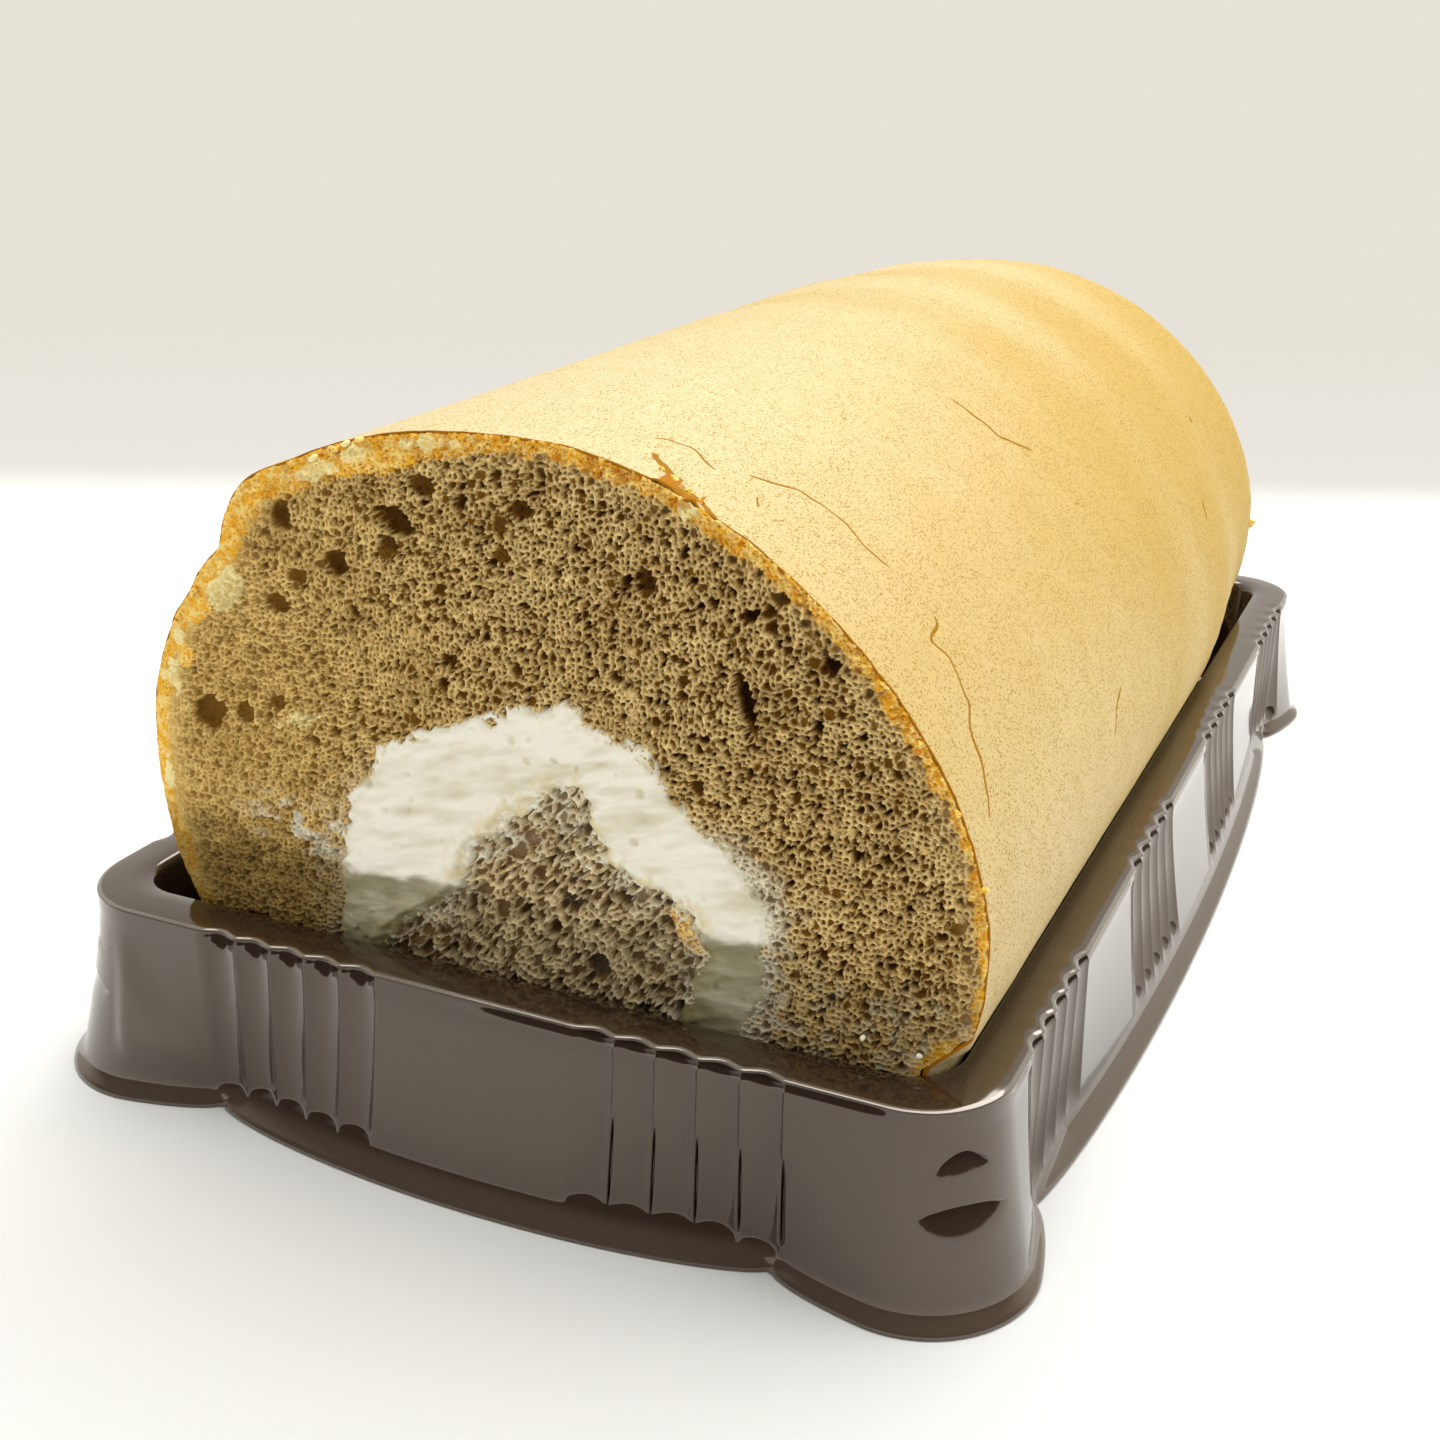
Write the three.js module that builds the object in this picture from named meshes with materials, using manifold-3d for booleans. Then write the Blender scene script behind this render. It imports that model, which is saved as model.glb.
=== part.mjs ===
// A cut swiss roll in its moulded tray: a coffee sponge sheet rolled once round a
// thick arch of cream, lying in a thin brown tray with a fluted skirt.
// Millimetres, +Z up. X runs across the roll, Y along it, and the cut face looks
// along -Y. The origin is on the table under the middle of the tray.
import * as THREE from 'three';
import { ParametricGeometry } from 'three/addons/geometries/ParametricGeometry.js';
import { mergeVertices } from 'three/addons/utils/BufferGeometryUtils.js';
import Module from 'manifold-3d';

// ---- driving dimensions ------------------------------------------------------

// Tray rim and cavity.
const RIM_WIDTH = 110;
const RIM_LENGTH = 190;
const RIM_HEIGHT = 22.7;
const RIM_CORNER = 10;
const LEDGE_WIDTH = 5.8;
const LEDGE_THICK = 1;
const CAVITY_CORNER = 6;
const CAVITY_DRAFT = 1.2;
const FLOOR_TOP = 4;
const SHELL_THICK = 0.9;

// Skirt below the rim.
const SKIRT_THICK = 2.1;
const BOW_SIDE = 5;
const BOW_END = 5.2;
const FOOT_FLARE = 4.8;
const FOOT_ON_SIDE = 21.5;
const FOOT_ON_END = 21;
const LIP_HEIGHT = 3.6;
const LIP_WIDTH = 2.2;
const FLARE_CURVE = 1.25;
const CORNER_STEPS = 6;

// Flutes pressed into the skirt, in groups of five.
const FLUTE_PITCH = 4.6;
const FLUTE_COUNT = 5;
const FLUTE_DEPTH = 1.2;
const FLUTE_TOP = 19.9;
const END_GROUPS = [-23.4, 23.4];
const SIDE_GROUPS = [-68, -22.7, 22.7, 68];

// Pairs of almond-shaped dimples on each corner of the skirt.
const DIMPLE_DEPTH = 0.9;
const DIMPLE_HEIGHTS = [16.6, 9.8];
const DIMPLE_LENGTHS = [7.5, 11];

// The roll: two half-ovals, fuller on the left shoulder than on the right.
const ROLL_CENTRE_X = 4;
const ROLL_CENTRE_Z = 36;
const ROLL_HALF_WIDTH = 48;
const ROLL_RISE = 44;
const ROLL_DROP = 33;
const SHOULDER_LEFT = 2.4;
const SHOULDER_RIGHT = 1.78;
const BELLY = 2.3;
const ROLL_FRONT = -87.9;
const ROLL_BACK = 82;
const TAPER_START = 25;
const TAPER_WIDTH = 4;
const TAPER_RISE = 2;
const BACK_ROUND = 5;

const CLEARANCE = 0.3;

// ---- solids ------------------------------------------------------------------

const wasm = await Module();
wasm.setup();

/** A closed solid from a geometry whose seams only need their vertices merged. */
function solidOf(geometry) {
  const bare = geometry.index ? geometry.toNonIndexed() : geometry.clone();
  bare.deleteAttribute('normal');
  bare.deleteAttribute('uv');
  const merged = mergeVertices(bare, 1e-3);
  const corners = merged.index.array;
  const kept = [];
  for (let i = 0; i < corners.length; i += 3) {
    const [a, b, c] = corners.slice(i, i + 3);
    if (a !== b && b !== c && c !== a) kept.push(a, b, c);
  }
  const solid = new wasm.Manifold(new wasm.Mesh({
    numProp: 3,
    vertProperties: merged.attributes.position.array,
    triVerts: Uint32Array.from(kept),
  }));
  return solid;
}

/** The named mesh of a finished solid. */
function meshOf(solid, name, look) {
  const { vertProperties, triVerts } = solid.getMesh();
  const geometry = new THREE.BufferGeometry();
  geometry.setAttribute('position', new THREE.Float32BufferAttribute(vertProperties, 3));
  geometry.setIndex(new THREE.Uint32BufferAttribute(triVerts, 1));
  geometry.computeVertexNormals();
  const mesh = new THREE.Mesh(geometry, new THREE.MeshStandardMaterial(look));
  mesh.name = name;
  return mesh;
}

/** An XZ outline stood up and extruded along Y from `front` to `back`. */
function alongRoll(shape, front, back, steps = 1) {
  const geometry = new THREE.ExtrudeGeometry(shape, {
    depth: back - front,
    steps,
    bevelEnabled: false,
  });
  geometry.rotateX(Math.PI / 2);
  geometry.translate(0, back, 0);
  return geometry;
}

const smooth = (from, to, value) => THREE.MathUtils.smoothstep(value, from, to);

// ---- tray --------------------------------------------------------------------

/** A rounded rectangle centred on the origin. */
function roundedRectangle(halfX, halfY, corner) {
  const outline = new THREE.Shape();
  outline.absarc(halfX - corner, -halfY + corner, corner, -Math.PI / 2, 0);
  outline.absarc(halfX - corner, halfY - corner, corner, 0, Math.PI / 2);
  outline.absarc(-halfX + corner, halfY - corner, corner, Math.PI / 2, Math.PI);
  outline.absarc(-halfX + corner, -halfY + corner, corner, Math.PI, 1.5 * Math.PI);
  return outline;
}

/** A rounded box from `low` to `high`, its foot drawn in by `draft` on every side. */
function draftedBox(halfX, halfY, corner, low, high, draft) {
  const geometry = new THREE.ExtrudeGeometry(roundedRectangle(halfX, halfY, corner), {
    depth: high - low,
    bevelEnabled: false,
    curveSegments: 6,
  });
  geometry.translate(0, 0, low);
  const place = geometry.attributes.position;
  for (let i = 0; i < place.count; i++) {
    if (place.getZ(i) > (low + high) / 2) continue;
    place.setX(i, place.getX(i) * (1 - draft / halfX));
    place.setY(i, place.getY(i) * (1 - draft / halfY));
  }
  return solidOf(geometry);
}

/**
 * Stations along one straight side: four to a flute, one between groups, and the two ends.
 * Each is { along, flute }, where flute is the depth share pressed in there.
 */
function straightStations(half, groups) {
  const stations = [{ along: -half, flute: 0 }];
  for (const [i, centre] of groups.entries()) {
    const first = centre - (FLUTE_COUNT / 2) * FLUTE_PITCH;
    if (i > 0) stations.push({ along: (groups[i - 1] + centre) / 2, flute: 0 });
    for (let quarter = 0; quarter <= 4 * FLUTE_COUNT; quarter++) {
      stations.push({
        along: first + (quarter / 4) * FLUTE_PITCH,
        flute: Math.abs(Math.sin((quarter * Math.PI) / 4)) ** 0.6,
      });
    }
  }
  stations.push({ along: half, flute: 0 });
  return stations;
}

/** How far the foot of a side bows out at `along`: full in the middle, none at the notch. */
function bowOut(along, notch, bow) {
  const share = Math.min(Math.abs(along) / notch, 1);
  return bow * (1 - share ** 2) ** 0.7;
}

/** How far a corner foot flares at `share` of the way round it, notch to notch. */
const footFlare = (share) => FOOT_FLARE * Math.sin(Math.PI * share) ** 0.6;

/** All stations round the rim, anticlockwise: place, outward normal, flare and flute. */
function rimStations() {
  const halfX = RIM_WIDTH / 2;
  const halfY = RIM_LENGTH / 2;
  const end = {
    half: halfX - RIM_CORNER,
    reach: halfY,
    foot: FOOT_ON_END,
    bow: BOW_END,
    groups: END_GROUPS,
  };
  const flank = {
    half: halfY - RIM_CORNER,
    reach: halfX,
    foot: FOOT_ON_SIDE,
    bow: BOW_SIDE,
    groups: SIDE_GROUPS,
  };
  const footRun = FOOT_ON_END + FOOT_ON_SIDE;
  const centre = new THREE.Vector2();
  const stations = [];
  for (let side = 0; side < 4; side++) {
    const [here, next] = side % 2 ? [flank, end] : [end, flank];
    const { half, reach, bow } = here;
    const notch = half + RIM_CORNER - here.foot;
    const onward = new THREE.Vector2(1, 0).rotateAround(centre, (side * Math.PI) / 2);
    const outward = new THREE.Vector2(0, -1).rotateAround(centre, (side * Math.PI) / 2);
    for (const { along, flute } of straightStations(half, here.groups)) {
      const beyond = Math.abs(along) - notch;
      stations.push({
        place: onward.clone().multiplyScalar(along).addScaledVector(outward, reach),
        outward,
        flare: beyond > 0 ? footFlare(beyond / footRun) : bowOut(along, notch, bow),
        flute,
      });
    }
    const pivot = onward.clone().multiplyScalar(half).addScaledVector(outward, reach - RIM_CORNER);
    const before = here.foot - RIM_CORNER;
    const round = footRun - before - (next.foot - RIM_CORNER);
    for (let step = 1; step < CORNER_STEPS; step++) {
      const turned = step / CORNER_STEPS;
      const normal = outward.clone().rotateAround(centre, turned * (Math.PI / 2));
      stations.push({
        place: pivot.clone().addScaledVector(normal, RIM_CORNER),
        outward: normal,
        flare: footFlare((before + turned * round) / footRun),
        flute: 0,
      });
    }
  }
  return stations;
}

/** How far the wall stands out at height z, where its foot flares by `flare`. */
function wallOut(flare, z) {
  const down = THREE.MathUtils.clamp((FLUTE_TOP - z) / (FLUTE_TOP - LIP_HEIGHT), 0, 1);
  return Math.max(flare - LIP_WIDTH, 0) * down ** FLARE_CURVE;
}

/** The skirt's closed profile at a station, as { out, z } pairs from the ledge round the foot. */
function skirtProfile({ flare, flute }) {
  const wall = wallOut(flare, LIP_HEIGHT);
  const waist = wallOut(flare, RIM_HEIGHT / 2);
  const dent = flute * FLUTE_DEPTH;
  const inner = -SKIRT_THICK;
  return [
    { out: inner - 1, z: RIM_HEIGHT },
    { out: -0.4 - 0.25 * dent, z: RIM_HEIGHT },
    { out: -0.25 * dent, z: RIM_HEIGHT - 0.9 },
    { out: -dent, z: FLUTE_TOP },
    { out: waist - dent, z: RIM_HEIGHT / 2 },
    { out: wall - 0.8 * dent, z: LIP_HEIGHT },
    { out: flare - 0.9, z: 1.5 },
    { out: flare, z: 0.6 },
    { out: flare - 0.2, z: 0 },
    { out: flare - SKIRT_THICK, z: 0 },
    { out: wall + inner, z: LIP_HEIGHT },
    { out: inner - 1, z: RIM_HEIGHT - LEDGE_THICK },
  ];
}

/** The fluted, flared skirt as a closed ring. */
function skirt() {
  const stations = rimStations();
  const rings = stations.map(skirtProfile);
  const rows = rings[0].length;
  const surface = (around, across, target) => {
    const column = Math.round(around * stations.length) % stations.length;
    const row = (rows - Math.round(across * rows)) % rows;
    const { place, outward } = stations[column];
    const { out, z } = rings[column][row];
    target.set(place.x + outward.x * out, place.y + outward.y * out, z);
  };
  return solidOf(new ParametricGeometry(surface, stations.length, rows));
}

/** One dimple's cutter: a flattened ball that sinks DIMPLE_DEPTH into a corner of the skirt. */
function dimple(signX, signY, height, length) {
  const ball = new THREE.SphereGeometry(1, 10, 8);
  ball.scale(length / 2, DIMPLE_DEPTH * 2, length / 5);
  ball.rotateZ((-signX * signY * Math.PI) / 4);
  const out = RIM_CORNER + wallOut(FOOT_FLARE, height) + DIMPLE_DEPTH;
  const inset = RIM_CORNER - out * Math.SQRT1_2;
  ball.translate(signX * (RIM_WIDTH / 2 - inset), signY * (RIM_LENGTH / 2 - inset), height);
  return solidOf(ball);
}

function tray() {
  const halfX = RIM_WIDTH / 2;
  const halfY = RIM_LENGTH / 2;
  const ledgeLow = RIM_HEIGHT - LEDGE_THICK;
  const hollowX = halfX - LEDGE_WIDTH;
  const hollowY = halfY - LEDGE_WIDTH;
  const edge = 1;
  let solid = skirt()
    .add(draftedBox(halfX - edge, halfY - edge, RIM_CORNER - edge, ledgeLow, RIM_HEIGHT, 0))
    .add(draftedBox(hollowX + SHELL_THICK, hollowY + SHELL_THICK, CAVITY_CORNER + SHELL_THICK,
      FLOOR_TOP - SHELL_THICK, RIM_HEIGHT - LEDGE_THICK / 2, CAVITY_DRAFT))
    .subtract(draftedBox(hollowX, hollowY, CAVITY_CORNER, FLOOR_TOP, RIM_HEIGHT + 1, CAVITY_DRAFT));
  for (const signX of [-1, 1]) {
    for (const signY of [-1, 1]) {
      DIMPLE_HEIGHTS.forEach((height, i) => {
        solid = solid.subtract(dimple(signX, signY, height, DIMPLE_LENGTHS[i]));
      });
    }
  }
  return meshOf(solid, 'tray', { color: 0x4a3f3a, roughness: 0.22, metalness: 0 });
}

// ---- roll --------------------------------------------------------------------

/** The roll's outer outline in XZ, round from the right-hand side over the top. */
function rollOutline(points = 84) {
  const outline = [];
  for (let i = 0; i < points; i++) {
    const angle = (i / points) * 2 * Math.PI;
    const [c, s] = [Math.cos(angle), Math.sin(angle)];
    const power = s < 0 ? BELLY : c < 0 ? SHOULDER_LEFT : SHOULDER_RIGHT;
    const x = ROLL_HALF_WIDTH * Math.sign(c) * Math.abs(c) ** (2 / power);
    const z = (s < 0 ? ROLL_DROP : ROLL_RISE) * Math.sign(s) * Math.abs(s) ** (2 / power);
    outline.push(new THREE.Vector2(
      ROLL_CENTRE_X + x,
      Math.max(ROLL_CENTRE_Z + z, FLOOR_TOP + CLEARANCE),
    ));
  }
  return outline;
}

// Dents in the skin, each a soft pit: place on the skin, reach and depth.
const DENTS = [
  { x: -39, y: -88, z: 62, reach: 9, depth: 1.6 },
  { x: -46, y: -86, z: 36, reach: 6, depth: 1.2 },
  { x: 38, y: -30, z: 66, reach: 16, depth: 0.5 },
  { x: 20, y: 35, z: 78, reach: 12, depth: 0.7 },
  { x: 46, y: 48, z: 50, reach: 10, depth: 0.6 },
];

/** Draws a point of the roll in to where the tray's rounded, drafted cavity has room for it. */
function fitCavity(point) {
  const cornerY = RIM_LENGTH / 2 - LEDGE_WIDTH - CAVITY_CORNER;
  const intoCorner = Math.min(Math.max(Math.abs(point.y) - cornerY, 0), CAVITY_CORNER);
  const cornerLoss = CAVITY_CORNER - Math.sqrt(CAVITY_CORNER ** 2 - intoCorner ** 2);
  const depth = (RIM_HEIGHT - Math.min(point.z, RIM_HEIGHT)) / (RIM_HEIGHT - FLOOR_TOP);
  const spread = Math.max(point.z - RIM_HEIGHT, 0);
  const wall = RIM_WIDTH / 2 - LEDGE_WIDTH - cornerLoss - CAVITY_DRAFT * depth;
  const room = wall - 2 * CLEARANCE + spread;
  point.x = THREE.MathUtils.clamp(point.x, -room, room);
}

/** Moves one point of the straight roll: the far end tapers, and the skin ripples and dents. */
function rollForm(point) {
  const taper = smooth(TAPER_START, ROLL_BACK, point.y);
  const round = smooth(ROLL_BACK - BACK_ROUND, ROLL_BACK, point.y) ** 2;
  const right = Math.max(point.x - ROLL_CENTRE_X, 0) / ROLL_HALF_WIDTH;
  const high = Math.max(point.z - ROLL_CENTRE_Z, 0) / ROLL_RISE;
  const low = 1 - high;
  const ripple = 0.35 * Math.sin(point.y / 5.5 + 2.2 * right) * smooth(-10, 30, point.y);
  const inward = new THREE.Vector3(ROLL_CENTRE_X - point.x, 0, ROLL_CENTRE_Z - point.z).normalize();
  let sink = 1.6 * round + ripple * high;
  for (const { x, y, z, reach, depth } of DENTS) {
    const away = point.distanceTo(new THREE.Vector3(x, y, z)) / reach;
    sink += depth * Math.exp(-(away ** 2));
  }
  point.x -= TAPER_WIDTH * taper * right * (0.5 + 0.5 * low);
  point.z -= TAPER_RISE * taper * high;
  point.addScaledVector(inward, Math.max(sink, 0) * smooth(RIM_HEIGHT - 6, RIM_HEIGHT, point.z));
  fitCavity(point);
  return point;
}

// The cream band's middle line in XZ, with its half thickness, from the hidden foot of
// the left leg over the arch and down the right leg to the tail under the core.
const CREAM = [
  { x: -18.4, z: 15, half: 2.6 },
  { x: -17.3, z: 23, half: 3.2 },
  { x: -14.6, z: 30, half: 5.4 },
  { x: -10.6, z: 36, half: 6.9 },
  { x: -4.4, z: 42.6, half: 6.6 },
  { x: 5.2, z: 48.4, half: 4.7 },
  { x: 15.2, z: 43.4, half: 5 },
  { x: 24.6, z: 37, half: 4.4 },
  { x: 26.4, z: 30.2, half: 3.4 },
  { x: 24.8, z: 22.6, half: 3.3 },
  { x: 20.5, z: 15.4, half: 3 },
  { x: 12, z: 11.2, half: 2.4 },
  { x: 4, z: 10.6, half: 1.8 },
];

/** The closed outline of the cream band, `extra` fatter all round. */
function creamOutline(extra) {
  const middle = new THREE.SplineCurve(CREAM.map(({ x, z }) => new THREE.Vector2(x, z)));
  const thickness = new THREE.SplineCurve(CREAM.map(({ half }, i) => new THREE.Vector2(i, half)));
  const steps = 30;
  const outer = [];
  const inner = [];
  for (let i = 0; i <= steps; i++) {
    const at = middle.getPoint(i / steps);
    const along = middle.getTangent(i / steps);
    const side = new THREE.Vector2(-along.y, along.x);
    const half = thickness.getPoint(i / steps).y + extra;
    outer.push(at.clone().addScaledVector(side, half));
    inner.unshift(at.clone().addScaledVector(side, -half));
  }
  const tail = middle.getPoint(1).addScaledVector(middle.getTangent(1), 1.4 + extra);
  const foot = middle.getPoint(0).addScaledVector(middle.getTangent(0), -1.8 - extra);
  return [...outer, tail, ...inner, foot];
}

function cream() {
  const shape = new THREE.Shape(creamOutline(0));
  const band = solidOf(alongRoll(shape, ROLL_FRONT + CLEARANCE, ROLL_BACK - CLEARANCE));
  return meshOf(band, 'cream', { color: 0xe9e6dc, roughness: 0.55, metalness: 0 });
}

// Large air holes that open in the cut face: place in XZ, width, height and lean.
const HOLES = [
  { x: -25.4, z: 68.6, wide: 3.6, tall: 3.8, lean: 0 },
  { x: -11.7, z: 69.6, wide: 4.2, tall: 6.6, lean: 0.7 },
  { x: -18.9, z: 64.5, wide: 3.4, tall: 4, lean: 0 },
  { x: -37.1, z: 45, wide: 4.2, tall: 4.6, lean: 0 },
  { x: -28, z: 58.9, wide: 4, tall: 3, lean: 0 },
  { x: 26.7, z: 57.6, wide: 2.2, tall: 7.6, lean: 0.2 },
  { x: 16.6, z: 67.4, wide: 2.6, tall: 2.8, lean: 0 },
  { x: 11.2, z: 26, wide: 3.6, tall: 4, lean: 0 },
  { x: 2.7, z: 72.9, wide: 3, tall: 2.2, lean: 0 },
  { x: -8, z: 73.9, wide: 3.4, tall: 2.4, lean: 0 },
];

/** One air hole's cutter: a small ball sunk in the cut face. */
function airHole({ x, z, wide, tall, lean }) {
  const ball = new THREE.SphereGeometry(0.5, 9, 6);
  ball.scale(wide, Math.min(wide, tall) * 1.2, tall);
  ball.rotateY(lean);
  ball.translate(x, ROLL_FRONT, z);
  return solidOf(ball);
}

function sponge() {
  const roll = alongRoll(new THREE.Shape(rollOutline()), ROLL_FRONT, ROLL_BACK, 20);
  const place = roll.attributes.position;
  for (let i = 0; i < place.count; i++) {
    const moved = rollForm(new THREE.Vector3().fromBufferAttribute(place, i));
    place.setXYZ(i, moved.x, moved.y, moved.z);
  }
  const tunnel = alongRoll(
    new THREE.Shape(creamOutline(CLEARANCE)), ROLL_FRONT - 1, ROLL_BACK + 1);
  let solid = solidOf(roll).subtract(solidOf(tunnel));
  for (const hole of HOLES) solid = solid.subtract(airHole(hole));
  return meshOf(solid, 'sponge', { color: 0xb08d55, roughness: 0.9, metalness: 0 });
}

// ---- assembly ----------------------------------------------------------------

const group = new THREE.Group();
group.add(tray(), sponge(), cream());

export default group;
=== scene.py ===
"""A cut swiss roll in its moulded tray, dressed over its fixed frame.

Sizes in this file are in millimetres and turn into metres where a mesh is made.
X runs across the roll, Y along it away from the cut face, Z up, and the origin is
on the table under the middle of the tray.
"""

import logging
import math
from dataclasses import dataclass, field
from enum import Enum

import bpy
import numpy as np
from mathutils import Matrix, Vector

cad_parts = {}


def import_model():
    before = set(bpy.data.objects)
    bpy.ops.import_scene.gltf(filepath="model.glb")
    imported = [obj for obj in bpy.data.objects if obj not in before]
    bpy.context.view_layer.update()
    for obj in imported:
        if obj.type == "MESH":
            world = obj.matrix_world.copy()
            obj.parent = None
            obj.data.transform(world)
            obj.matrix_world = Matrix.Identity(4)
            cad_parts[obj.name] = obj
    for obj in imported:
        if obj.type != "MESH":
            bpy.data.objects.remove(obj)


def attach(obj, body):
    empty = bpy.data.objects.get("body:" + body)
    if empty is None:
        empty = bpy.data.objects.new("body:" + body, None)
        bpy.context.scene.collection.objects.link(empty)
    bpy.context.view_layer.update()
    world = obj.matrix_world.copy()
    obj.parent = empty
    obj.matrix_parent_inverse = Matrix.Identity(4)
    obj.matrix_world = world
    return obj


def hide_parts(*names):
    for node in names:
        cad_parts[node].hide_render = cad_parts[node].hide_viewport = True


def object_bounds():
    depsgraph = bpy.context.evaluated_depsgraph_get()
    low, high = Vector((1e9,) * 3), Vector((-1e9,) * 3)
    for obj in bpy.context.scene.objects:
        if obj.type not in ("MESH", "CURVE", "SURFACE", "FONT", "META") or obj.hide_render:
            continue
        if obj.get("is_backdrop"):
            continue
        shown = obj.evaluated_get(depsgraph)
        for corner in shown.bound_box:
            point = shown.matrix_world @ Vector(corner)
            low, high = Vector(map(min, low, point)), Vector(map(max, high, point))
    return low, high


LOG = logging.getLogger("swiss_roll")
MM = 0.001
Array = np.ndarray
Colour = tuple[float, float, float]


# ---- noise -------------------------------------------------------------------


def lattice(cells: Array, seed: int) -> Array:
    """Draws a fixed random share for each whole-number cell.

    The cell's numbers are multiplied by large primes, joined bit by bit, and scrambled
    by shifts and products.

    Args:
        cells: Whole numbers, the last axis being the cell's 1 to 3 coordinates.
        seed: Which of the endless random patterns to draw from.

    Returns:
        Shares from 0 to 1, one for each cell.
    """
    primes = np.array([73856093, 19349663, 83492791], dtype=np.uint32)
    with np.errstate(over="ignore"):
        word = cells.astype(np.int64).astype(np.uint32) * primes[: cells.shape[-1]]
        word = np.bitwise_xor.reduce(word, axis=-1) + np.uint32(seed * 2654435761 % 2**32)
        for factor in (0x2C1B3C6D, 0x297A2D39):
            word = (word ^ (word >> np.uint32(15))) * np.uint32(factor)
    return (word ^ (word >> np.uint32(15))) / 2.0**32


def soft_noise(points: Array, size: float, seed: int) -> Array:
    """Smooth noise: lattice shares blended by 3t² - 2t³ between the corners of each cell.

    Args:
        points: Places, the last axis being 1 to 3 coordinates.
        size: Width of one cell, in the places' unit.
        seed: Random pattern.

    Returns:
        Values from -1 to 1.
    """
    at = points / size
    base = np.floor(at)
    part = at - base
    blend = part * part * (3.0 - 2.0 * part)
    total = np.zeros(points.shape[:-1])
    for corner in np.ndindex(*(2,) * points.shape[-1]):
        weight = np.prod(np.where(corner, blend, 1.0 - blend), axis=-1)
        total += weight * lattice(base + np.array(corner), seed)
    return 2.0 * total - 1.0


def layered_noise(points: Array, size: float, layers: int, seed: int) -> Array:
    """Sums soft noise of size, size/2, size/4 ... with halved strength for each layer.

    Args:
        points: Places, the last axis being 1 to 3 coordinates.
        size: Width of the largest cells.
        layers: How many sizes are summed.
        seed: Random pattern.

    Returns:
        Values from about -1 to 1.
    """
    total = np.zeros(points.shape[:-1])
    for layer in range(layers):
        total += soft_noise(points, size / 2**layer, seed + layer) / 2**layer
    return total / (2.0 - 2.0 ** (1 - layers))


def bubbles(
    points: Array, pitch: float, radii: tuple[float, float], share: float, seed: int
) -> Array:
    """Cuts through bubbles scattered in a plane, one to a square cell.

    A bubble of radius r, stretched to an oval, is r·sqrt(1 - d²) deep at d radii from its
    middle. The deepest of the nine nearest bubbles counts.

    Args:
        points: Places in the plane.
        pitch: Width of a cell.
        radii: Smallest and largest radius.
        share: How many of the cells hold a bubble, from 0 to 1.
        seed: Random pattern.

    Returns:
        Depth below the plane, 0 between bubbles.
    """
    base = np.floor(points / pitch)
    deepest = np.zeros(points.shape[:-1])
    for step in np.ndindex(3, 3):
        cell = base + np.array(step) - 1.0
        draws = [lattice(cell, seed + 11 * k) for k in range(6)]
        middle = (cell + 0.1 + 0.8 * np.stack(draws[:2], axis=-1)) * pitch
        radius = radii[0] + (radii[1] - radii[0]) * draws[2] ** 1.4
        turn = math.pi * draws[3]
        stretch = 1.0 + 0.5 * draws[4]
        gap = points - middle
        along = (gap[..., 0] * np.cos(turn) + gap[..., 1] * np.sin(turn)) / stretch
        across = (gap[..., 1] * np.cos(turn) - gap[..., 0] * np.sin(turn)) * np.sqrt(stretch)
        away = (along**2 + across**2) / radius**2
        depth = radius * np.sqrt(np.clip(1.0 - away, 0.0, 1.0))
        deepest = np.maximum(deepest, np.where(draws[5] < share, depth, 0.0))
    return deepest


def foam(points: Array, pitch: float, seed: int) -> tuple[Array, Array]:
    """Cuts through a foam with one rounded cell to a square of a plane.

    Each square holds a random point, and a place belongs to the nearest one. Its distance
    from the cell's wall is -k·ln(sum exp(-d/k)) over the distances d to the lines half way
    to the other points, a minimum that rounds the cell's corners, with k a tenth of a pitch.

    Args:
        points: Places in the plane.
        pitch: Width of a square.
        seed: Random pattern.

    Returns:
        The distance from the cell's wall, and a random share for each cell.
    """
    base = np.floor(points / pitch)
    cells = [base + np.array(step) - 1.0 for step in np.ndindex(3, 3)]
    middles = [
        (c + 0.1 + 0.8 * np.stack([lattice(c, seed), lattice(c, seed + 1)], axis=-1)) * pitch
        for c in cells
    ]
    squares = [np.sum((points - m) ** 2, axis=-1) for m in middles]
    least = np.full(points.shape[:-1], 1e9)
    nearest = np.zeros_like(points)
    owner = np.zeros_like(points)
    for cell, middle, square in zip(cells, middles, squares):
        closer = square < least
        least = np.where(closer, square, least)
        nearest = np.where(closer[..., None], middle, nearest)
        owner = np.where(closer[..., None], cell, owner)
    blend = 0.1 * pitch
    total = np.zeros_like(least)
    for middle, square in zip(middles, squares):
        apart = np.linalg.norm(middle - nearest, axis=-1)
        away = (square - least) / (2.0 * np.maximum(apart, 1e-6))
        total += np.where(apart < 1e-6, 0.0, np.exp(-away / blend))
    return -blend * np.log(np.maximum(total, 1e-12)), lattice(owner, seed + 2)


def ramp(low: float, high: float, value: Array) -> Array:
    """Rises from 0 at `low` to 1 at `high` as 3t² - 2t³, and falls where high is below low."""
    part = np.clip((np.asarray(value) - low) / (high - low), 0.0, 1.0)
    return part * part * (3.0 - 2.0 * part)


def signed_power(value: Array, power: float | Array) -> Array:
    """The value's size raised to a power, with its sign kept."""
    return np.sign(value) * np.abs(value) ** power


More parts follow.
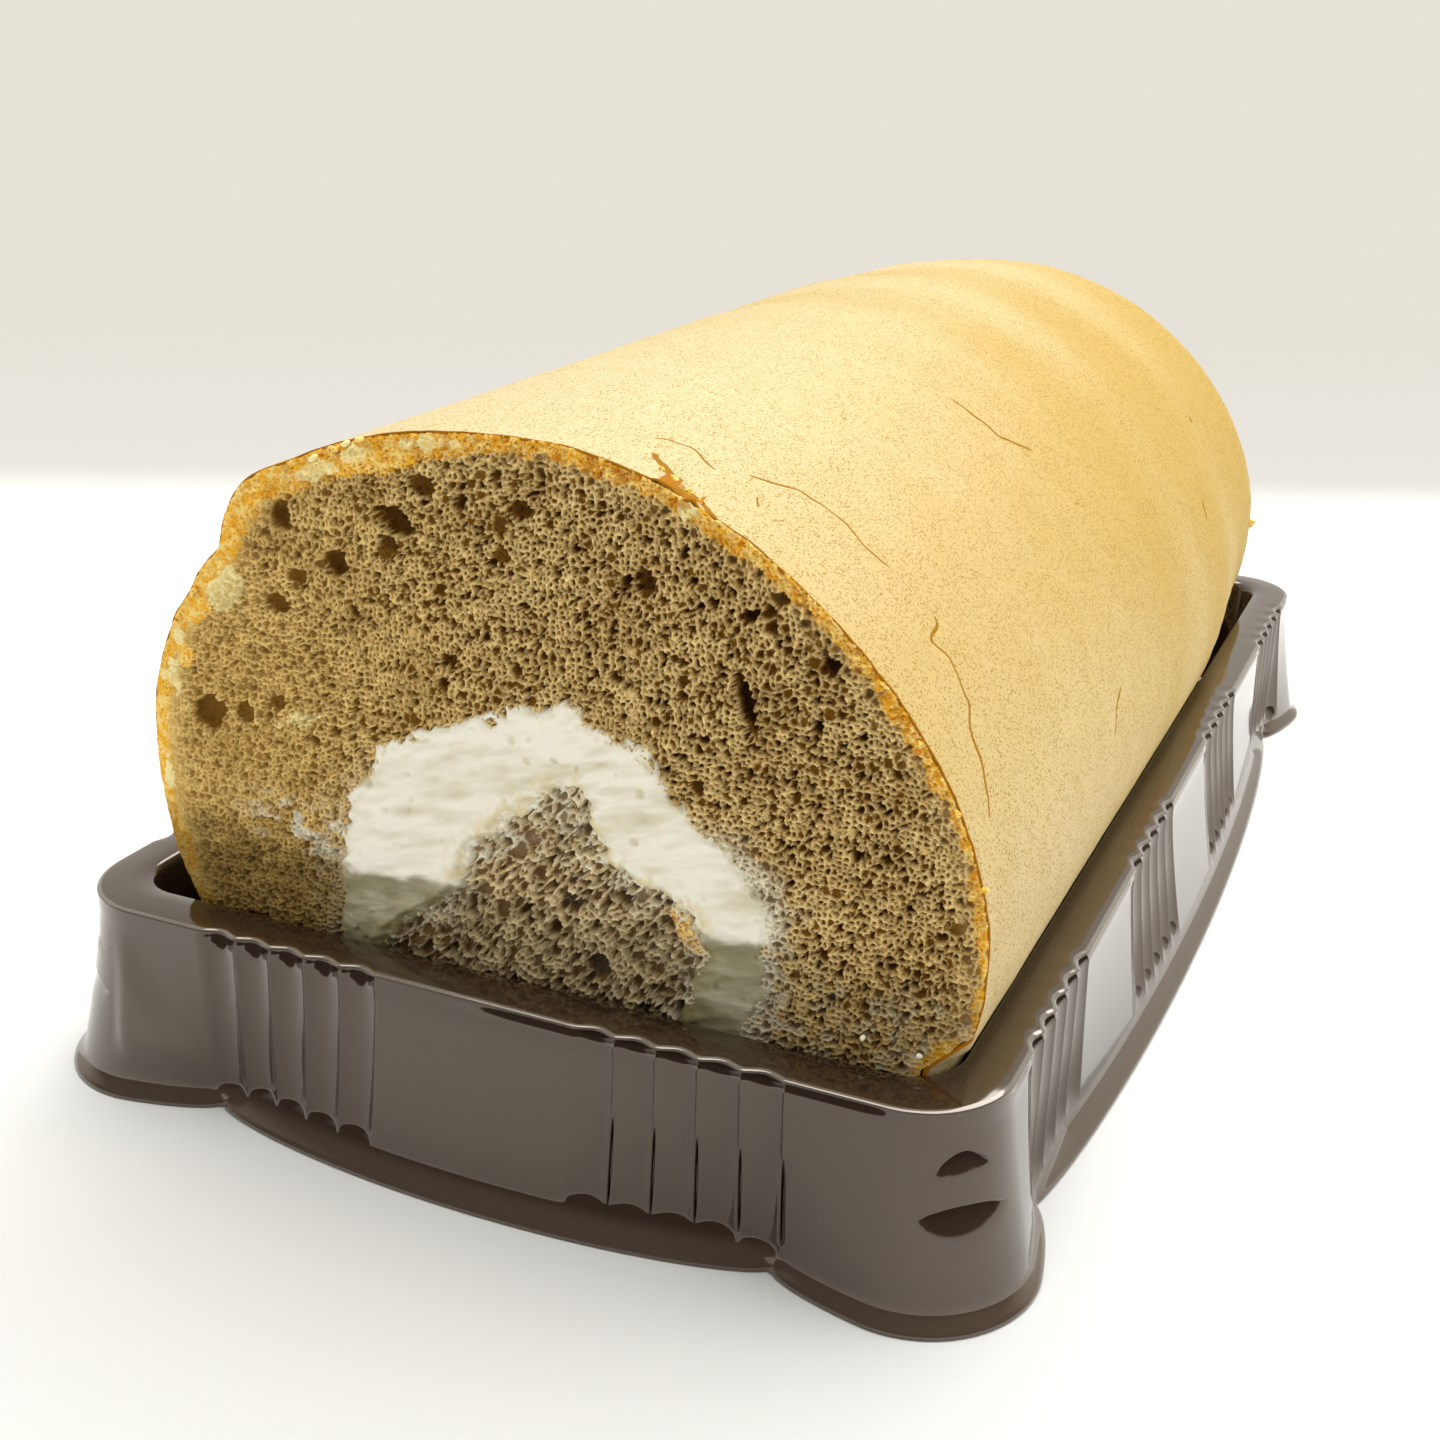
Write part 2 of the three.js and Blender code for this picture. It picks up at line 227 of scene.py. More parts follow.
def catmull_rom(knots: Array, count: int) -> Array:
    """A smooth path through knots, each stretch a cubic whose slope at a knot is half the
    step between its neighbours.

    Args:
        knots: The points to pass through, in order.
        count: How many points to return, evenly spread over the knots.

    Returns:
        The path's points, the first and last being the end knots.
    """
    padded = np.concatenate([knots[:1], knots, knots[-1:]])
    at = np.linspace(0.0, len(knots) - 1.0, count)
    first = np.minimum(at.astype(int), len(knots) - 2)
    t = (at - first)[:, None]
    a, b, c, d = (padded[first + k] for k in range(4))
    return 0.5 * (
        2.0 * b + (c - a) * t + (2.0 * a - 5.0 * b + 4.0 * c - d) * t**2
        + (3.0 * b - a - 3.0 * c + d) * t**3
    )


def to_path(points: Array, path: Array) -> tuple[Array, Array]:
    """Measures points in a plane against an open path of straight stretches.

    Args:
        points: Places in the plane.
        path: The path's corners, in order.

    Returns:
        The distance, positive on the left of the nearest stretch and negative on its right,
        and how far along the path the nearest place is, in stretches.
    """
    best = np.full(points.shape[:-1], 1e9)
    side = np.ones_like(best)
    along = np.zeros_like(best)
    for k in range(len(path) - 1):
        step = path[k + 1] - path[k]
        gap = points - path[k]
        share = np.clip(gap @ step / (step @ step), 0.0, 1.0)
        away = np.hypot(gap[..., 0] - share * step[0], gap[..., 1] - share * step[1])
        left = step[0] * gap[..., 1] - step[1] * gap[..., 0]
        nearer = away < best
        best = np.where(nearer, away, best)
        side = np.where(nearer, np.where(left < 0.0, -1.0, 1.0), side)
        along = np.where(nearer, k + share, along)
    return best * side, along


# ---- meshes ------------------------------------------------------------------


def loop_round(grid: Array) -> Array:
    """The outermost entries of a grid of indices, once round."""
    return np.concatenate([grid[0, :-1], grid[:-1, -1], grid[-1, :0:-1], grid[:0:-1, 0]])


@dataclass
class Surface:
    """A mesh gathered from grids and fans, in millimetres."""

    name: str
    points: list[Array] = field(default_factory=list)
    quads: list[Array] = field(default_factory=list)
    tris: list[Array] = field(default_factory=list)
    looks: dict[str, list[Array]] = field(default_factory=dict)
    count: int = 0

    def add_points(self, points: Array, **looks: Array) -> Array:
        """Adds points and what they carry.

        Args:
            points: Places, the last axis being x, y, z.
            **looks: A number for each point, by attribute name.

        Returns:
            The points' indices, shaped as the points are.
        """
        flat = points.reshape(-1, 3)
        for name in {**self.looks, **looks}:
            rows = self.looks.setdefault(name, [np.zeros(self.count)])
            rows.append(np.broadcast_to(looks.get(name, 0.0), points.shape[:-1]).reshape(-1))
        self.points.append(flat)
        self.count += len(flat)
        return np.arange(self.count - len(flat), self.count).reshape(points.shape[:-1])

    def grid(self, index: Array, wrapped: bool = False) -> None:
        """Adds the quads between the rows and columns of a grid of indices.

        Args:
            index: Rows by columns of point indices.
            wrapped: Whether the last column joins the first.
        """
        after = np.roll(index, -1, axis=1) if wrapped else index[:, 1:]
        here = index if wrapped else index[:, :-1]
        self.quads.append(
            np.stack([here[:-1], after[:-1], after[1:], here[1:]], axis=-1).reshape(-1, 4)
        )

    def fan(self, loop: Array, pole: Array, **looks: float) -> None:
        """Closes a loop with triangles to a new point.

        Args:
            loop: Indices of the loop's points.
            pole: The new point.
            **looks: What it carries.
        """
        top = self.add_points(pole.reshape(1, 3), **looks)[0]
        after = np.roll(loop, -1)
        self.tris.append(np.stack([loop, after, np.full_like(loop, top)], axis=-1))

    def build(self, material: bpy.types.Material) -> bpy.types.Object:
        """Makes the object, smooth shaded, with its point attributes.

        Args:
            material: The object's finish.

        Returns:
            The object, linked to the scene.
        """
        mesh = bpy.data.meshes.new(self.name)
        place = np.concatenate(self.points) * MM
        quads = np.concatenate(self.quads)
        tris = np.concatenate(self.tris) if self.tris else np.zeros((0, 3), int)
        mesh.vertices.add(len(place))
        mesh.vertices.foreach_set("co", place.astype(np.float32).reshape(-1))
        mesh.loops.add(quads.size + tris.size)
        corners = np.concatenate([quads.reshape(-1), tris.reshape(-1)]).astype(np.int32)
        mesh.loops.foreach_set("vertex_index", corners)
        mesh.polygons.add(len(quads) + len(tris))
        sizes = np.repeat([4, 3], [len(quads), len(tris)])
        mesh.polygons.foreach_set("loop_start", (np.cumsum(sizes) - sizes).astype(np.int32))
        mesh.polygons.foreach_set("use_smooth", np.ones(len(sizes), bool))
        mesh.update(calc_edges=True)
        for name, rows in self.looks.items():
            layer = mesh.attributes.new(name, "FLOAT", "POINT")
            layer.data.foreach_set("value", np.concatenate(rows).astype(np.float32))
        mesh.materials.append(material)
        made = bpy.data.objects.new(self.name, mesh)
        bpy.context.scene.collection.objects.link(made)
        LOG.info("%s: %d points, %d faces", self.name, len(place), len(sizes))
        return made


# ---- materials ---------------------------------------------------------------


class Value:
    """A number that varies over a surface: a shader socket with arithmetic."""

    def __init__(self, shader: "Shader", socket: bpy.types.NodeSocket) -> None:
        """Wraps an output socket of the shader's tree."""
        self.shader = shader
        self.socket = socket

    def _math(self, operation: str, *terms: "Value | float") -> "Value":
        """Adds a Math node of the operation on the terms."""
        node = self.shader.node("Math", {"operation": operation}, *terms)
        return Value(self.shader, node.outputs[0])

    def __add__(self, other: "Value | float") -> "Value":
        """self + other."""
        return self._math("ADD", self, other)

    def __sub__(self, other: "Value | float") -> "Value":
        """self - other."""
        return self._math("SUBTRACT", self, other)

    def __rsub__(self, other: float) -> "Value":
        """other - self."""
        return self._math("SUBTRACT", other, self)

    def __mul__(self, other: "Value | float") -> "Value":
        """self * other."""
        return self._math("MULTIPLY", self, other)

    __radd__ = __add__

    def size(self) -> "Value":
        """The number without its sign."""
        return self._math("ABSOLUTE", self)

    def around(self, middle: float, strength: float) -> "Value":
        """The number's distance from `middle`, times a strength."""
        return (self - middle) * strength

    def ramp(self, low: float, high: float) -> "Value":
        """Rises smoothly from 0 at `low` to 1 at `high`."""
        node = self.shader.node(
            "MapRange", {"interpolation_type": "SMOOTHSTEP"}, self, low, high, 0.0, 1.0
        )
        return Value(self.shader, node.outputs[0])


class Shader:
    """The node tree of one material, ending in a Principled shader."""

    def __init__(self, name: str, **constants: float | Colour) -> None:
        """Makes the material and sets the Principled shader's own sockets.

        Args:
            name: The material's name.
            **constants: Values for sockets, underscores standing for spaces.
        """
        self.material = bpy.data.materials.new(name)
        self.material.use_nodes = True
        self.tree = self.material.node_tree
        self.tree.nodes.clear()
        self.surface = self.node("BsdfPrincipled", {})
        output = self.node("OutputMaterial", {})
        self.tree.links.new(self.surface.outputs[0], output.inputs[0])
        self.place = self.node("TexCoord", {}).outputs["Object"]
        for key, value in constants.items():
            self.put(key, value)

    def node(self, kind: str, settings: dict[str, object], *values: object,
             **named: object) -> bpy.types.ShaderNode:
        """Adds a node.

        Args:
            kind: The node's type without its ShaderNode prefix.
            settings: The node's own settings, set before its sockets.
            *values: Values or links for its shown input sockets, in order.
            **named: Values or links for input sockets, by name.

        Returns:
            The node.
        """
        made = self.tree.nodes.new("ShaderNode" + kind)
        for key, value in settings.items():
            setattr(made, key, value)
        shown = [socket for socket in made.inputs if socket.enabled]
        by_name = {socket.name: socket for socket in reversed(shown)}
        for socket, value in zip(shown, values):
            self._join(socket, value)
        for key, value in named.items():
            self._join(by_name[key], value)
        return made

    def _join(self, socket: bpy.types.NodeSocket, value: object) -> None:
        """Links a value to an input socket, or sets the socket to a number or colour."""
        if isinstance(value, Value):
            value = value.socket
        if isinstance(value, bpy.types.NodeSocket):
            self.tree.links.new(value, socket)
        elif isinstance(value, tuple) and len(value) == 3 and socket.type == "RGBA":
            socket.default_value = (*value, 1.0)
        else:
            socket.default_value = value

    def put(self, name: str, value: object) -> None:
        """Gives the Principled shader's named socket a value or link."""
        self._join(self.surface.inputs[name.replace("_", " ")], value)

    def carried(self, name: str) -> Value:
        """The number that the mesh carries under this attribute name."""
        node = self.node("Attribute", {"attribute_name": name, "attribute_type": "GEOMETRY"})
        return Value(self, node.outputs["Fac"])

    def noise(self, size: float, detail: float,
              stretch: tuple[float, float, float] | None = None) -> Value:
        """Soft noise from 0 to 1.

        Args:
            size: How large its features are, in millimetres.
            detail: How many finer layers are added.
            stretch: Factors on the coordinates; a small one draws the features out.

        Returns:
            The noise.
        """
        place = self.place
        if stretch:
            scaled = self.node("VectorMath", {"operation": "MULTIPLY"}, place, stretch)
            place = scaled.outputs[0]
        node = self.node("TexNoise", {}, Vector=place, Scale=1.0 / (size * MM), Detail=detail)
        return Value(self, node.outputs[0])

    def dots(self, size: float) -> Value:
        """Distance from scattered points `size` millimetres apart, in those sizes."""
        node = self.node("TexVoronoi", {}, Vector=self.place, Scale=1.0 / (size * MM))
        return Value(self, node.outputs["Distance"])

    def mix(self, factor: Value, first: object, second: object,
            how: str = "MIX") -> bpy.types.NodeSocket:
        """Blends two colours.

        Args:
            factor: 0 where the first shows and 1 where the second does.
            first: A colour or link.
            second: A colour or link.
            how: The way they blend.

        Returns:
            The blend's output socket.
        """
        settings = {"data_type": "RGBA", "blend_type": how}
        node = self.node("Mix", settings, factor, first, second)
        return next(socket for socket in node.outputs if socket.enabled)

    def layered(self, base: object, *layers: tuple[Value, object]) -> bpy.types.NodeSocket:
        """Lays colours over a base.

        Args:
            base: The colour or link below.
            *layers: In order, a factor that is 1 where the layer covers, and its colour or link.

        Returns:
            The last blend's output socket.
        """
        for factor, colour in layers:
            base = self.mix(factor, base, colour)
        return base

    def bump(self, height: Value, depth: float, strength: float = 1.0) -> None:
        """Roughens the surface by a height from 0 to 1, `depth` millimetres deep."""
        node = self.node("Bump", {}, Strength=strength, Distance=depth * MM, Height=height)
        self.put("Normal", node.outputs[0])


def from_srgb(red: int, green: int, blue: int) -> Colour:
    """The linear colour of a screen colour given as 0 to 255."""
    shares = (red / 255.0, green / 255.0, blue / 255.0)
    return tuple(s / 12.92 if s <= 0.04045 else ((s + 0.055) / 1.055) ** 2.4 for s in shares)


@dataclass(frozen=True)
class SkinFinish:
    """The roll's baked skin: pale yellow, finely freckled, tan towards its far low side."""

    pale: Colour = from_srgb(205, 187, 146)
    tan: Colour = from_srgb(182, 154, 88)
    freckle: Colour = from_srgb(140, 108, 10)
    crack: Colour = from_srgb(148, 102, 4)
    crust: Colour = from_srgb(162, 104, 6)

    def material(self) -> bpy.types.Material:
        """Pale to tan by the carried mask, with freckles, crack lines and a browned cut edge."""
        shader = Shader("baked_skin", Roughness=0.7, Specular_IOR_Level=0.1)
        blotch = shader.noise(9.0, 3.0)
        grain = shader.noise(0.24, 1.0)
        drift = shader.noise(2.2, 3.0)
        # The carried tan mask also holds painted shade in rings over the ripples.
        tanned = shader.carried("tan") + blotch.around(0.5, 0.3)
        speck = 0.4 - shader.dots(0.34) + drift.around(0.5, 0.3) + grain.around(0.5, 0.9)
        browned = shader.carried("crust") * (0.95 + grain.around(0.5, 1.4))
        away = (shader.carried("crack") + grain.around(0.5, 0.8)).size()
        line = (1.0 - away.ramp(0.8, 1.6)) * shader.carried("cracked")
        shader.put("Base Color", shader.layered(
            self.pale,
            (tanned.ramp(-0.1, 1.1), self.tan),
            (speck.ramp(0.0, 0.2) * 0.8, self.freckle),
            (browned.ramp(0.1, 0.7), self.crust),
            ((line * 1.8).ramp(0.0, 0.7), self.crack),
        ))
        shader.bump(grain * 0.6 + drift * 0.4 - line * 0.3, 0.08, 0.8)
        return shader.material


@dataclass(frozen=True)
class CrumbFinish:
    """Cut sponge: light walls round bubbles darkened by painted shade, browned towards the crust.
    """

    wall: Colour = from_srgb(245, 217, 152)
    golden: Colour = from_srgb(246, 212, 132)
    worn: Colour = from_srgb(188, 146, 76)
    # Painted shade inside the bubbles, from shallow to deep, lighter on the golden side.
    shallow: Colour = from_srgb(132, 90, 20)
    pit: Colour = from_srgb(52, 26, 0)
    light_pit: Colour = from_srgb(144, 102, 36)
    crust: Colour = from_srgb(254, 222, 134)
    baked: Colour = from_srgb(244, 182, 48)
    # Browned crust, also used as painted shade in the crust's pores.
    scorched_and_pit_shade: Colour = from_srgb(160, 92, 4)
    torn: Colour = from_srgb(255, 238, 172)
    smear: Colour = from_srgb(246, 240, 218)
    # Painted shade: multiplied into the crumb's colour low on the near cut.
    damp: Colour = from_srgb(140, 132, 112)

    def material(self) -> bpy.types.Material:
        """Blends the crumb's colours by the masks that the mesh carries."""
        shader = Shader("cut_crumb", Roughness=0.8, Specular_IOR_Level=0.2)
        fine = shader.noise(0.3, 3.0)
        patch = shader.noise(5.0, 2.0)
        toast = shader.noise(1.1, 3.0)
        golden = shader.carried("golden")
        pore = (shader.carried("pore") + fine.around(0.5, 0.25)).ramp(0.05, 1.0)
        sunk = (shader.carried("sunk") + fine.around(0.5, 0.4)).ramp(0.05, 0.8)
        rubbed = (0.62 - fine + patch.around(0.5, 0.6)).ramp(0.0, 0.35) * 0.6
        wall = shader.mix(rubbed, shader.mix(golden, self.wall, self.golden), self.worn)
        # Painted shade in the bubbles, deeper as the carried depth share grows.
        pit = shader.mix(golden * 0.7, self.pit, self.light_pit)
        inside = shader.mix(sunk, self.shallow, pit)
        rim = shader.layered(
            self.crust,
            ((toast + fine.around(0.5, 0.9)).ramp(0.35, 0.62), self.baked),
            # Browner crust at random, and painted shade in the crust's pores.
            ((pore * 0.7 + fine.around(0.57, 3.5)).ramp(0.1, 0.9) * 0.8, self.scorched_and_pit_shade),
        )
        crust = shader.carried("crust") + toast.around(0.5, 0.9) + fine.around(0.5, 0.6)
        torn = (shader.carried("torn") + fine.around(0.5, 0.5)).ramp(0.2, 0.8)
        colour = shader.layered(
            wall,
            (pore, inside),
            (crust.ramp(0.2, 0.75), rim),
            (torn * (1.0 - pore * 0.6), self.torn),
            (shader.carried("smear") * (1.0 - pore * 0.8), self.smear),
        )
        # Painted shade low on the near cut, multiplied in by its carried mask.
        shader.put("Base Color", shader.mix(shader.carried("damp"), colour, self.damp, "MULTIPLY"))
        shader.bump(fine, 0.16)
        return shader.material


@dataclass(frozen=True)
class CreamFinish:
    """Whipped cream, off-white, with spread marks and crumbs of sponge."""

    fresh: Colour = from_srgb(248, 243, 227)
    # Painted shade in the cream's furrows and pits.
    hollow: Colour = from_srgb(214, 206, 174)
    stain: Colour = from_srgb(224, 208, 156)
    # Painted shade: multiplied into the cream's colour low on the near end.
    damp: Colour = from_srgb(150, 148, 122)

    def material(self) -> bpy.types.Material:
        """Off-white, with painted shade in its furrows and pits, and yellower where sponge has
        stained it.
        """
        shader = Shader("whipped_cream", Roughness=0.5, Specular_IOR_Level=0.4,
                        Subsurface_Weight=0.15, Subsurface_Scale=0.002)
        stained = shader.carried("stain") * shader.noise(1.6, 3.0).ramp(0.4, 0.62)
        colour = shader.layered(
            self.fresh, (shader.carried("furrow"), self.hollow), (stained, self.stain)
        )
        # Painted shade low on the near end, multiplied in by its carried mask.
        shader.put("Base Color", shader.mix(shader.carried("damp"), colour, self.damp, "MULTIPLY"))
        drawn = shader.noise(0.5, 3.0, (0.3, 1.0, 1.0))
        shader.bump(shader.noise(0.7, 4.0) * 0.5 + drawn * 0.5, 0.24, 0.8)
        return shader.material


@dataclass(frozen=True)
class TrayFinish:
    """Thin glossy plastic, dark brown, warmer where light comes through its lip."""

    plastic: Colour = from_srgb(50, 37, 28)
    thin: Colour = from_srgb(72, 60, 50)
    # Painted highlight along the rim's edge.
    edge: Colour = from_srgb(134, 128, 120)
    shadow: Colour = from_srgb(24, 18, 14)
    sheen: Colour = (1.0, 0.86, 0.75)

    def material(self) -> bpy.types.Material:
        """Dark plastic under a clear gloss, slightly wavy as moulded sheet is."""
        shader = Shader("moulded_plastic", Specular_IOR_Level=1.0, Coat_Roughness=0.04,
                        Coat_IOR=1.5, Specular_Tint=self.sheen)
        # The rim mask lays the painted highlight on the rim's edge and adds coat there.
        rim = shader.carried("rim") * 0.5
        slit = shader.carried("groove").ramp(0.1, 0.7)
        shader.put("Base Color", shader.layered(
            self.plastic, (shader.carried("thin"), self.thin), (rim, self.edge), (slit, self.shadow)
        ))
        shader.put("Metallic", slit)
        shader.put("Coat Weight", (rim + 0.4) * (1.0 - slit))
        shader.put("Roughness", shader.noise(14.0, 2.0) * 0.06 + 0.07 + slit * 0.6)
        shader.bump(shader.noise(16.0, 1.0), 0.25, 0.35)
        return shader.material


@dataclass(frozen=True)
class TableFinish:
    """The plain pale table: darker in front by painted shade, and a flat warm grey far behind.

    Distances are in metres from the middle, along the level line on which the table runs back.
    Painted shade darkens it towards the front between those of `front_shade`. The backdrop starts
    at
    `edge`, softened over twice `soft`, and has its far colour `deep` behind that. All round it
    comes in between those of `fade`.
    """

    near: Colour = (0.82, 0.825, 0.81)
    # Painted shade on the front of the table.
    front: Colour = (0.63, 0.635, 0.625)
    glow: Colour = from_srgb(236, 232, 224)
    far: Colour = from_srgb(230, 226, 216)
    edge: float = 0.2
    soft: float = 0.035
    front_shade: tuple[float, float] = (-0.13, -0.03)
    deep: float = 0.25
    fade: tuple[float, float] = (0.5, 1.3)

    def material(self, away: Vector) -> bpy.types.Material:
        """Blends front to near to far along a level direction, and to far all round.

        Args:
            away: The level direction in which the table runs back.

        Returns:
            The material.
        """
        shader = Shader("pale_table", Roughness=0.7, Specular_IOR_Level=0.0)
        dot = shader.node("VectorMath", {"operation": "DOT_PRODUCT"}, shader.place, tuple(away))
        span = shader.node("VectorMath", {"operation": "LENGTH"}, shader.place)
        along, reach = (Value(shader, node.outputs["Value"]) for node in (dot, span))
        behind = along.ramp(self.edge - self.soft, self.edge + self.soft)
        far = 1.0 - (1.0 - behind) * (1.0 - reach.ramp(*self.fade))
        # Painted shade: the table darkens towards the front.
        lit = shader.mix(along.ramp(*self.front_shade), self.front, self.near)
        backdrop = shader.mix(along.ramp(self.edge, self.edge + self.deep), self.glow, self.far)
        black = (0.0, 0.0, 0.0)
        shader.put("Base Color", shader.mix(far, lit, black))
        shader.put("Emission Color", shader.mix(far, black, backdrop))
        shader.put("Emission Strength", 1.0)
        return shader.material


# ---- roll --------------------------------------------------------------------


@dataclass(frozen=True)
class Dent:
    """A soft pit in the skin: its middle, reach and depth, which is below 0 for a bulge."""

    x: float
    y: float
    z: float
    reach: float
    depth: float


@dataclass(frozen=True)
class RollForm:
    """The roll's outer form: two half-ovals carried along Y, tapered at the far end.

    It is pressed in where the tray's cavity, with its leaning walls and round corners, leaves
    less room.
    """

    centre_x: float = 4.0
    centre_z: float = 36.0
    half_width: float = 48.0
    rise: float = 44.0
    drop: float = 33.0
    shoulder_left: float = 2.4
    shoulder_right: float = 1.78
    belly: float = 2.3
    front: float = -87.9
    back: float = 82.0
    taper_start: float = 25.0
    taper_width: float = 4.0
    taper_rise: float = 2.0
    back_round: float = 5.0
    ripple: float = 0.55
    ripple_length: float = 5.5
    ripple_turn: float = 2.2
    floor: float = 4.3
    rim_height: float = 22.7
    cavity_floor: float = 4.0
    cavity_wall: float = 49.2
    cavity_end: float = 89.2
    cavity_corner: float = 6.0
    cavity_draft: float = 1.2
    clearance: float = 0.3
    dents: tuple[Dent, ...] = (
        Dent(-39.5, -88.0, 60.5, 8.5, 1.5),
        Dent(-34.2, -88.5, 64.8, 2.6, 1.6),
        Dent(-29.0, -85.6, 72.0, 4.5, -1.1),
        Dent(-41.0, -86.0, 56.5, 3.0, -0.5),
        Dent(-45.0, -86.0, 43.0, 12.0, -0.9),
        Dent(38.0, -30.0, 66.0, 16.0, 0.5),
        Dent(20.0, 35.0, 78.0, 12.0, 0.7),
        Dent(46.0, 48.0, 50.0, 10.0, 0.6),
    )

    def outline(self, angle: Array) -> Array:
        """The straight roll's outline: x and z of two half-ovals with powers p, cut flat below.

        x = half width · |cos|^(2/p), z = rise · |sin|^(2/p), with the signs kept.

        Args:
            angle: 0 at the right-hand side, a quarter turn at the top.

        Returns:
            Places in XZ.
        """
        cosine, sine = np.cos(angle), np.sin(angle)
        power = np.where(sine < 0, self.belly,
                         np.where(cosine < 0, self.shoulder_left, self.shoulder_right))
        reach = np.where(sine < 0, self.drop, self.rise)
        x = self.centre_x + self.half_width * signed_power(cosine, 2.0 / power)
        z = self.centre_z + reach * signed_power(sine, 2.0 / power)
        return np.stack([x, np.maximum(z, self.floor)], axis=-1)

    def right(self, x: Array) -> Array:
        """How far a place is to the right of the middle, as a share of the half width."""
        return np.maximum(x - self.centre_x, 0.0) / self.half_width

    def waves(self, x: Array, y: Array) -> Array:
        """The soft rings' wave from -1 to 1, which runs later along Y towards the right."""
        return np.sin(y / self.ripple_length + self.ripple_turn * self.right(x))

    def shaped(self, points: Array) -> Array:
        """Moves points of the straight roll: taper, ripples, dents, and room in the cavity.

        A dent sinks as a bell, depth · exp(-d²), with d the distance in reaches.

        Args:
            points: Places on the straight roll.

        Returns:
            The moved places.
        """
        x, y, z = np.moveaxis(points, -1, 0)
        taper = ramp(self.taper_start, self.back, y)
        ending = ramp(self.back - self.back_round, self.back, y) ** 2
        right = self.right(x)
        high = np.maximum(z - self.centre_z, 0.0) / self.rise
        ripple = self.ripple * self.waves(x, y) * ramp(-10.0, 30.0, y)
        inward = np.stack([self.centre_x - x, self.centre_z - z], axis=-1)
        inward /= np.maximum(np.linalg.norm(inward, axis=-1, keepdims=True), 1e-6)
        sink = np.maximum(1.6 * ending + ripple * high, 0.0)
        for dent in self.dents:
            away = np.linalg.norm(points - (dent.x, dent.y, dent.z), axis=-1) / dent.reach
            sink = sink + dent.depth * np.exp(-(away**2))
        sink = sink * ramp(self.rim_height - 6.0, self.rim_height, z)
        x = x - self.taper_width * taper * right * (1.0 - 0.5 * high) + inward[..., 0] * sink
        z = z - self.taper_rise * taper * high + inward[..., 1] * sink
        beyond = np.clip(np.abs(y) - self.cavity_end + self.cavity_corner, 0.0, self.cavity_corner)
        loss = self.cavity_corner - np.sqrt(self.cavity_corner**2 - beyond**2)
        depth = self.rim_height - np.minimum(z, self.rim_height)
        depth = depth / (self.rim_height - self.cavity_floor)
        room = self.cavity_wall - loss - self.cavity_draft * depth - 2.0 * self.clearance
        room = room + np.maximum(z - self.rim_height, 0.0)
        return np.stack([np.clip(x, -room, room), y, z], axis=-1)

    def section(self, angle: Array, y: Array | float) -> Array:
        """Points of the finished form.

        Args:
            angle: Angles round the outline, as `outline` takes them.
            y: Distances along Y, one or one for each angle.

        Returns:
            The points' x, y and z.
        """
        flat = self.outline(angle)
        y = np.broadcast_to(y, flat.shape[:-1])
        return self.shaped(np.stack([flat[..., 0], y, flat[..., 1]], axis=-1))

    def girth_table(self) -> tuple[Array, Array]:
        """Angles and their distance round the outline from the top, positive to the right."""
        angle = np.linspace(-0.5 * math.pi, 1.5 * math.pi, 4001)
        step = np.linalg.norm(np.diff(self.outline(angle), axis=0), axis=-1)
        run = np.concatenate([[0.0], np.cumsum(step)])
        return angle, run[np.argmin(np.abs(angle - 0.5 * math.pi))] - run


@dataclass(frozen=True)
class Crack:
    """A crack in the skin: its corners as (girth from the top, place along Y), width and depth."""

    path: tuple[tuple[float, float], ...]
    width: float
    depth: float


